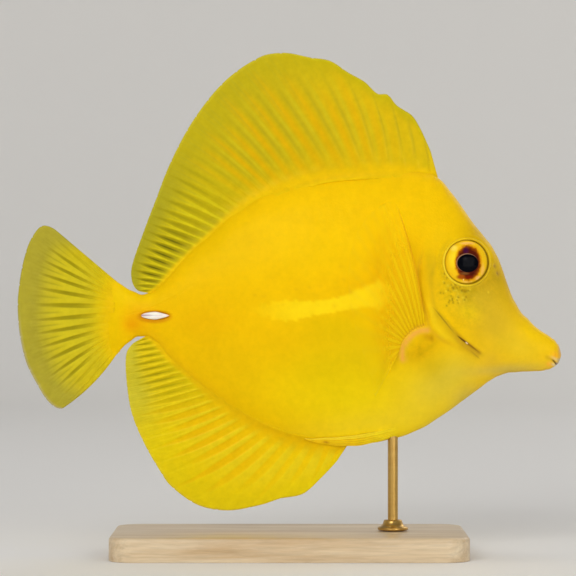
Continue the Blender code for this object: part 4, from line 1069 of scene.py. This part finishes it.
PECTORAL = {
    "root": ((39.6, 66.6), (36.6, 65.4), (33.9, 63.0), (32.2, 60.0)),
    "edge": (
        (36.3, 88.3), (33.8, 96.8), (31.4, 102.3), (28.9, 103.5), (24.4, 100.9), (19.7, 95.0), (17.3, 86.7),
        (17.0, 77.9), (18.5, 69.1), (21.1, 60.2), (23.8, 51.4), (24.9, 46.7),
    ),
    "fan": ((0.0, 0.19), (0.3, 0.34), (0.6, 0.58), (1.0, 1.0)),
    "bow": ((0.0, 0.034), (0.5, 0.02), (1.0, 0.0)),
    "spacing": ((0.0, 0.0), (13.0, 1.0)),
    "web": ((0.0, 0.2), (0.3, 0.26), (1.0, 0.34)),
    "spines": 14,
}
PECTORAL_FLARE = (0.30, 0.10)
PECTORAL_CAMBER = 0.0022
PECTORAL_SINK = 0.9
FILM_HALF = 0.1
GOLDEN_RAY_HALF = 0.18
FRONT_EDGE_HALF = 0.12


def pectoral_fin():
    """The left fin, which leans away from the flank and curves back towards it."""
    mesh, number, along, side = fin_grid("pectoral_fan_left", PECTORAL)
    across = read(PECTORAL["spacing"], number)
    path = fin_path(PECTORAL)
    start, flat = path(across, np.zeros(len(across))), path(across, along)
    reach = np.hypot(*(flat - start).T)
    lift = (PECTORAL_FLARE[0] + PECTORAL_FLARE[1] * across) * reach - PECTORAL_CAMBER * reach ** 2
    lift -= PECTORAL_SINK * (1 - step(0.0, 0.05, along))
    band = ray_lines(PECTORAL, number, along)[0]
    lead = bell(number, 0.35)
    half = FILM_HALF + GOLDEN_RAY_HALF * band * (1 - 0.75 * along)
    half = half + FRONT_EDGE_HALF * lead * (1 - 0.6 * along)
    half = half * (0.4 + 0.6 * np.clip((1 - along) * 40, 0, 1))
    depth = flank(start[:, 0], start[:, 1])[0][:, 1] + lift + side * half
    shaped(mesh, np.stack([flat[:, 0], depth, flat[:, 1]], axis=-1))
    near = 1 - step(0.15, 0.62, along - 0.3 * (1 - step(2.0, 7.0, number)))
    cover = band * (0.03 + 0.6 * near) + (1 - band) * (0.01 + 0.5 * near)
    cover += 0.4 * lead * (1 - step(0.85, 1.0, along)) + 0.12 * bell(number - 1.7, 0.25)
    cover = np.maximum(cover, 1 - step(0.0, 0.05, along))
    store(mesh, "cover", np.clip(cover, 0.0, 1.0))
    store(mesh, "paint", spray(
        plain("FFD20C", len(across)),
        ("FFDA10", band * step(0.03, 0.08, along)),
        ("F0A84E", 0.8 * (1 - step(0.0, 0.05, along))),
        ("E8A812", lead * step(0.1, 0.2, along))))
    return mesh


def clear_fin_material():
    """Clear fin film on golden rays: the rays hide what is behind them and the film barely tints it."""
    material, shader = new_material(
        "clear_fin_film", Roughness=0.35, IOR=1.34, Specular_Tint=(1.0, 0.8, 0.1, 1.0))
    paint = add(material, "Attribute", attribute_name="paint")
    cover = add(material, "Attribute", attribute_name="cover")
    link(material, paint.outputs["Color"], shader.inputs["Base Color"])
    link(material, cover.outputs["Fac"], shader.inputs["Alpha"])
    return material


put_pair("pectoral_fan", pectoral_fin(), clear_fin_material(), "fin", "pectoral_fin_left",
         "pectoral_fin_right")

# The pelvic fins
# Two narrow fins folded back along the edge of the belly, each a strong spine and five soft rays closed
# like a fan. They are the same skin as the other fins, golden along the spine.

PELVIC_ROOT_X = 36.4
PELVIC_TIP_X = 4.6
PELVIC = {"spacing": ((0.0, 0.0), (5.0, 1.0)), "web": ((0.0, 0.25), (1.0, 0.3)), "spines": 6}
PELVIC_ANGLES = (157.0, 170.0)
PELVIC_SPREAD = ((0.0, 0.75), (0.35, 1.0), (0.6, 0.95), (1.0, 0.05))
PELVIC_STAND_OFF = 0.6
PELVIC_SINK = 1.1
PELVIC_HALF = 0.26


def pelvic_fin():
    """The left fin, laid along the flesh a little way up from the edge of the belly."""
    mesh, number, along, side = fin_grid("pelvic_blade_left", PELVIC)
    x = PELVIC_ROOT_X + (PELVIC_TIP_X - PELVIC_ROOT_X) * along
    spread = (PELVIC_ANGLES[1] - PELVIC_ANGLES[0]) * read(PELVIC_SPREAD, along)
    on_skin = flesh(x, np.radians(sum(PELVIC_ANGLES) / 2 + spread * (number / 5 - 0.5)))
    outward = flank(on_skin[:, 0], on_skin[:, 2])[1]
    band = ray_lines(PELVIC, number, along)[0]
    off = PELVIC_STAND_OFF - PELVIC_SINK * (1 - step(0.05, 0.5, along))
    half = (PELVIC_HALF + 0.1 * band) * (1.0 - 0.5 * along)
    shaped(mesh, on_skin + outward * (off + side * half)[:, None])
    store(mesh, "paint", spray(
        plain("FFCC14", len(x)),
        ("FFD81E", band),
        ("FFE034", 1 - step(0.6, 1.2, number)),
        ("FFE222", 0.8 * (1 - step(0.3, 0.6, along))),
        # A small brown spot near the lower rays: a painted shadow.
        ("B8741A", 0.7 * bell(np.hypot((x - 10.9) / 0.8, (number - 3.2) / 1.2)))))
    return mesh


put_pair("pelvic_blade", pelvic_fin(), FIN, "fin", "pelvic_fin_left", "pelvic_fin_right")

# The tail spines
# The scalpel that names the family: a white, bony thorn folded into a groove on each side of the tail
# stalk, with its point to the front and mauve skin at its hinge.

THORN_LIFT = 0.2
THORN_CREASE = 0.16


def tail_spine():
    """The left thorn: a drawn-out ball, slim in front and blunt behind, with a crease along it."""
    thorn = bmesh.new()
    bmesh.ops.create_uvsphere(thorn, u_segments=40, v_segments=48, radius=1.0)
    bmesh.ops.rotate(thorn, cent=(0, 0, 0), matrix=Matrix.Rotation(math.pi / 2, 3, "Y"), verts=thorn.verts)
    mesh = as_mesh("tail_thorn_left", thorn)
    unit = corners_of(mesh)
    ahead, deep, high = unit.T
    slim = 1.0 - 0.62 * np.clip(ahead, 0, 1) ** 1.3
    blunt = np.where(ahead < 0, np.sign(ahead) * np.abs(ahead) ** 1.25, ahead)
    local = np.stack([blunt, deep * slim, high * slim], axis=-1) * np.array(SPINE_SIZE) / 2
    local[:, 1] -= THORN_CREASE * bell(high, 0.16) * (1 - step(-0.1, 0.8, ahead)) * (deep > 0)
    place, outward = flank(*SPINE_PLACE)
    lean = math.atan2(-outward[0], outward[1])
    turn = np.array([[math.cos(lean), -math.sin(lean), 0], [math.sin(lean), math.cos(lean), 0], [0, 0, 1]])
    set_corners(mesh, local @ turn.T + place + outward * THORN_LIFT)
    store(mesh, "paint", spray(
        plain("FBF4E6", len(unit)),
        # Grey along the crease: painted shade in it.
        ("D9D4CE", 0.6 * bell(high, 0.22) * (1 - step(0.3, 0.9, ahead))),
        ("B07C9C", 0.85 * bell(high - 0.1, 0.2) * (1 - step(-0.75, -0.1, ahead))),
        ("F4BE9A", 0.6 * step(0.75, 1.0, ahead))))
    return mesh


def bone_material():
    """Enamel-like bone: white and glossy, with a trace of light inside it."""
    material, shader = new_material(
        "polished_bone", Roughness=0.22, IOR=1.5, Subsurface_Weight=0.2, Subsurface_Scale=0.0006,
        Coat_Weight=0.3)
    place = add(material, "TexCoord").outputs["Object"]
    paint = add(material, "Attribute", attribute_name="paint").outputs["Color"]
    grain = add(material, "TexNoise", {"Vector": place, "Scale": per(0.8), "Detail": 3.0}).outputs["Fac"]
    link(material, toned(material, paint, grain, (0.0, 1.0), (0.94, 1.03)), shader.inputs["Base Color"])
    return material


put_pair("tail_thorn", tail_spine(), bone_material(), "spine", "tail_spine_left", "tail_spine_right")

# The base
# A small board of pale ash with rounded corners and softened edges, satin lacquered. The hole that the
# rod stands in is near its front end, out of sight under the collar.

BASE_CORNER_RADIUS = 8.0
UPPER_EDGE_BEVEL = 1.0
LOWER_EDGE_BEVEL = 0.3
PORE_DEPTH_IN_WOOD = 0.1


def base_board():
    """A block with its upright edges rounded first, then its upper and lower rims."""
    low, high = (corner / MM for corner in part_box("stand_base"))
    size, middle = high - low, (low + high) / 2
    board = bmesh.new()
    bmesh.ops.create_cube(board, size=1.0)
    bmesh.ops.scale(board, vec=size, verts=board.verts)
    bmesh.ops.translate(board, vec=middle, verts=board.verts)

    def soften(edges, radius, segments):
        bmesh.ops.bevel(board, geom=edges, offset=radius, segments=segments, profile=0.5, affect="EDGES",
                        material=-1)

    def rim(height):
        return [edge for edge in board.edges if edge.calc_face_angle() > 1.0
                and all(abs(corner.co.z - height) < 0.01 for corner in edge.verts)]

    upright = [edge for edge in board.edges if abs(edge.verts[0].co.z - edge.verts[1].co.z) > 1.0]
    soften(upright, BASE_CORNER_RADIUS, 16)
    soften(rim(high.z), UPPER_EDGE_BEVEL, 5)
    soften(rim(low.z), LOWER_EDGE_BEVEL, 2)
    mesh = as_mesh("base_board", board)
    mesh.set_sharp_from_angle(angle=math.radians(40))
    return mesh


def wood_material():
    """Pale ash under satin lacquer: long faint grain, fine pores and a soft even sheen."""
    material, shader = new_material(
        "lacquered_ash", Roughness=0.42, IOR=1.5, Coat_Weight=0.25, Coat_Roughness=0.25)
    place = add(material, "TexCoord").outputs["Object"]
    drawn = add(material, "Mapping", {"Vector": place, "Scale": (0.08, 1.0, 1.0)}).outputs[0]
    bands = add(material, "TexNoise",
                {"Vector": drawn, "Scale": per(5.0), "Detail": 8.0, "Roughness": 0.62, "Distortion": 0.5})
    pores = add(material, "TexNoise",
                {"Vector": drawn, "Scale": per(0.7), "Detail": 3.0, "Roughness": 0.6}).outputs["Fac"]
    ramp = add(material, "ValToRGB", {"Fac": bands.outputs["Fac"]})
    for stop, position, colour in zip(ramp.color_ramp.elements, (0.34, 0.72), ("C4A67C", "E6D4B4")):
        stop.position = position
        stop.color = linear(colour)
    colour = toned(material, ramp.outputs["Color"], pores, (0.35, 0.6), (0.9, 1.03))
    link(material, colour, shader.inputs["Base Color"])
    bump = add(material, "Bump", {"Height": pores, "Strength": 0.25, "Distance": PORE_DEPTH_IN_WOOD * MM})
    link(material, bump.outputs[0], shader.inputs["Normal"])
    return material


put("base_board", base_board(), wood_material(), "base_wood", "stand_base")

# The rod and its collar
# A straight 3 mm brass rod runs from the base up into the belly. A turned brass collar hides the hole in
# the board.

ROD_SEGMENTS = 64
COLLAR_CLEARANCE = 0.05


def turned_brass(name, profile, x):
    """A shape turned about an upright axis at x, from (radius, height) points, bottom to top."""
    shape = spun(profile, ROD_SEGMENTS)
    bmesh.ops.translate(shape, vec=(x, 0.0, 0.0), verts=shape.verts)
    mesh = as_mesh(name, shape)
    mesh.set_sharp_from_angle(angle=math.radians(35))
    return mesh


def brass_material():
    """Brushed brass: warm metal with fine marks round the turning, softly reflecting."""
    material, shader = new_material("brushed_brass", Metallic=1.0, Roughness=0.28)
    place = add(material, "TexCoord").outputs["Object"]
    drawn = add(material, "Mapping", {"Vector": place, "Scale": (1.0, 1.0, 6.0)}).outputs[0]
    marks = add(material, "TexNoise", {"Vector": drawn, "Scale": per(9.0), "Detail": 2.0})
    ramp = add(material, "ValToRGB", {"Fac": marks.outputs["Fac"]})
    for stop, colour in zip(ramp.color_ramp.elements, ("B88F48", "D0AB60")):
        stop.color = linear(colour)
    rough = add(material, "MapRange",
                {"Value": marks.outputs["Fac"], "To Min": 0.26, "To Max": 0.34})
    link(material, ramp.outputs["Color"], shader.inputs["Base Color"])
    link(material, rough.outputs[0], shader.inputs["Roughness"])
    return material


BRASS = brass_material()
rod_low, rod_high = (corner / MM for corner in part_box("stand_rod"))
rod_x, rod_radius = (rod_low.x + rod_high.x) / 2, (rod_high.x - rod_low.x) / 2
rod_profile = ((0.0, rod_low.z), (rod_radius, rod_low.z), (rod_radius, rod_high.z), (0.0, rod_high.z))
put("support_rod", turned_brass("support_rod", rod_profile, rod_x), BRASS, "brass", "stand_rod")
collar_low, collar_high = (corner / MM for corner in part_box("stand_ferrule"))
wide, low, high = (collar_high.x - collar_low.x) / 2, collar_low.z, collar_high.z
inside = rod_radius + COLLAR_CLEARANCE
collar_profile = (
    (inside, low), (wide - 0.2, low), (wide, low + 0.25), (wide, low + 0.7), (wide - 0.25, low + 0.95),
    (wide - 0.9, low + 1.15), (wide - 1.45, low + 1.7), (wide - 1.75, high - 0.45),
    (wide - 1.85, high - 0.15), (wide - 2.05, high), (inside, high), (inside, low),
)
put("rod_collar", turned_brass("rod_collar", collar_profile, rod_x), BRASS, "brass", "stand_ferrule")

# The studio
# A round cove of pale card whose floor curves up into its wall, with soft boxes beside the camera and
# above and behind the fish, and the camera level with the middle of the fish, side on.

# The camera looks at this place, with this width in view. The cove and the soft boxes are in metres, and
# each box has its place, its size and its power in watts.
FRAME_CENTRE = (-0.37, 78.5)
FRAME_WIDTH = 169.57
LENS = 200.0
SENSOR = 36.0
COVE_RADIUS = 1.7
COVE_CURVE = 0.5
COVE_HEIGHT = 1.0
SOFT_BOXES = (
    ((-0.5, -1.3, 0.75), 0.7, 8.6),
    ((0.7, -1.35, 0.3), 0.56, 5.2),
    ((0.0, 0.2, 1.5), 0.7, 3.0),
    ((0.9, 1.1, 0.9), 0.7, 3.0),
)


def cove():
    """The card floor and wall, turned in one piece. It is stage, not part of the model."""
    bend = [(COVE_RADIUS - COVE_CURVE * (1 - math.sin(turn)), COVE_CURVE * (1 - math.cos(turn)))
            for turn in np.linspace(0.0, math.pi / 2, 24)]
    shape = spun([(0.0, 0.0), *bend, (COVE_RADIUS, COVE_HEIGHT)], 128)
    bmesh.ops.recalc_face_normals(shape, faces=shape.faces)
    mesh = bpy.data.meshes.new("cove")
    shape.to_mesh(mesh)
    shape.free()
    mesh.shade_smooth()
    card, shader = new_material("pale_card", Roughness=0.9)
    shader.inputs["Base Color"].default_value = linear("F2F0EC")
    mesh.materials.append(card)
    thing = bpy.data.objects.new("cove", mesh)
    bpy.context.scene.collection.objects.link(thing)


def soft_box(place, size, power):
    """A square lamp that faces the middle of the fish."""
    lamp = bpy.data.lights.new("soft_box", "AREA")
    lamp.size = size
    lamp.energy = power
    thing = bpy.data.objects.new("soft_box", lamp)
    bpy.context.scene.collection.objects.link(thing)
    thing.location = place
    aim = Vector((0.0, 0.0, FRAME_CENTRE[1] * MM)) - Vector(place)
    thing.rotation_euler = aim.to_track_quat("-Z", "Y").to_euler()


cove()
for place, size, power in SOFT_BOXES:
    soft_box(place, size, power)

world = bpy.data.worlds.new("room")
bpy.context.scene.world = world
world.use_nodes = True
world.node_tree.nodes["Background"].inputs["Color"].default_value = linear("F4F4F6")
world.node_tree.nodes["Background"].inputs["Strength"].default_value = 0.3

camera_data = bpy.data.cameras.new("camera")
camera_data.lens = LENS
camera_data.sensor_width = SENSOR
camera = bpy.data.objects.new("camera", camera_data)
bpy.context.scene.collection.objects.link(camera)
camera.location = (FRAME_CENTRE[0] * MM, -FRAME_WIDTH * MM * LENS / SENSOR, FRAME_CENTRE[1] * MM)
camera.rotation_euler = (math.pi / 2, 0.0, 0.0)
bpy.context.scene.camera = camera
bpy.context.scene.view_settings.view_transform = "Standard"

bpy.context.view_layer.update()
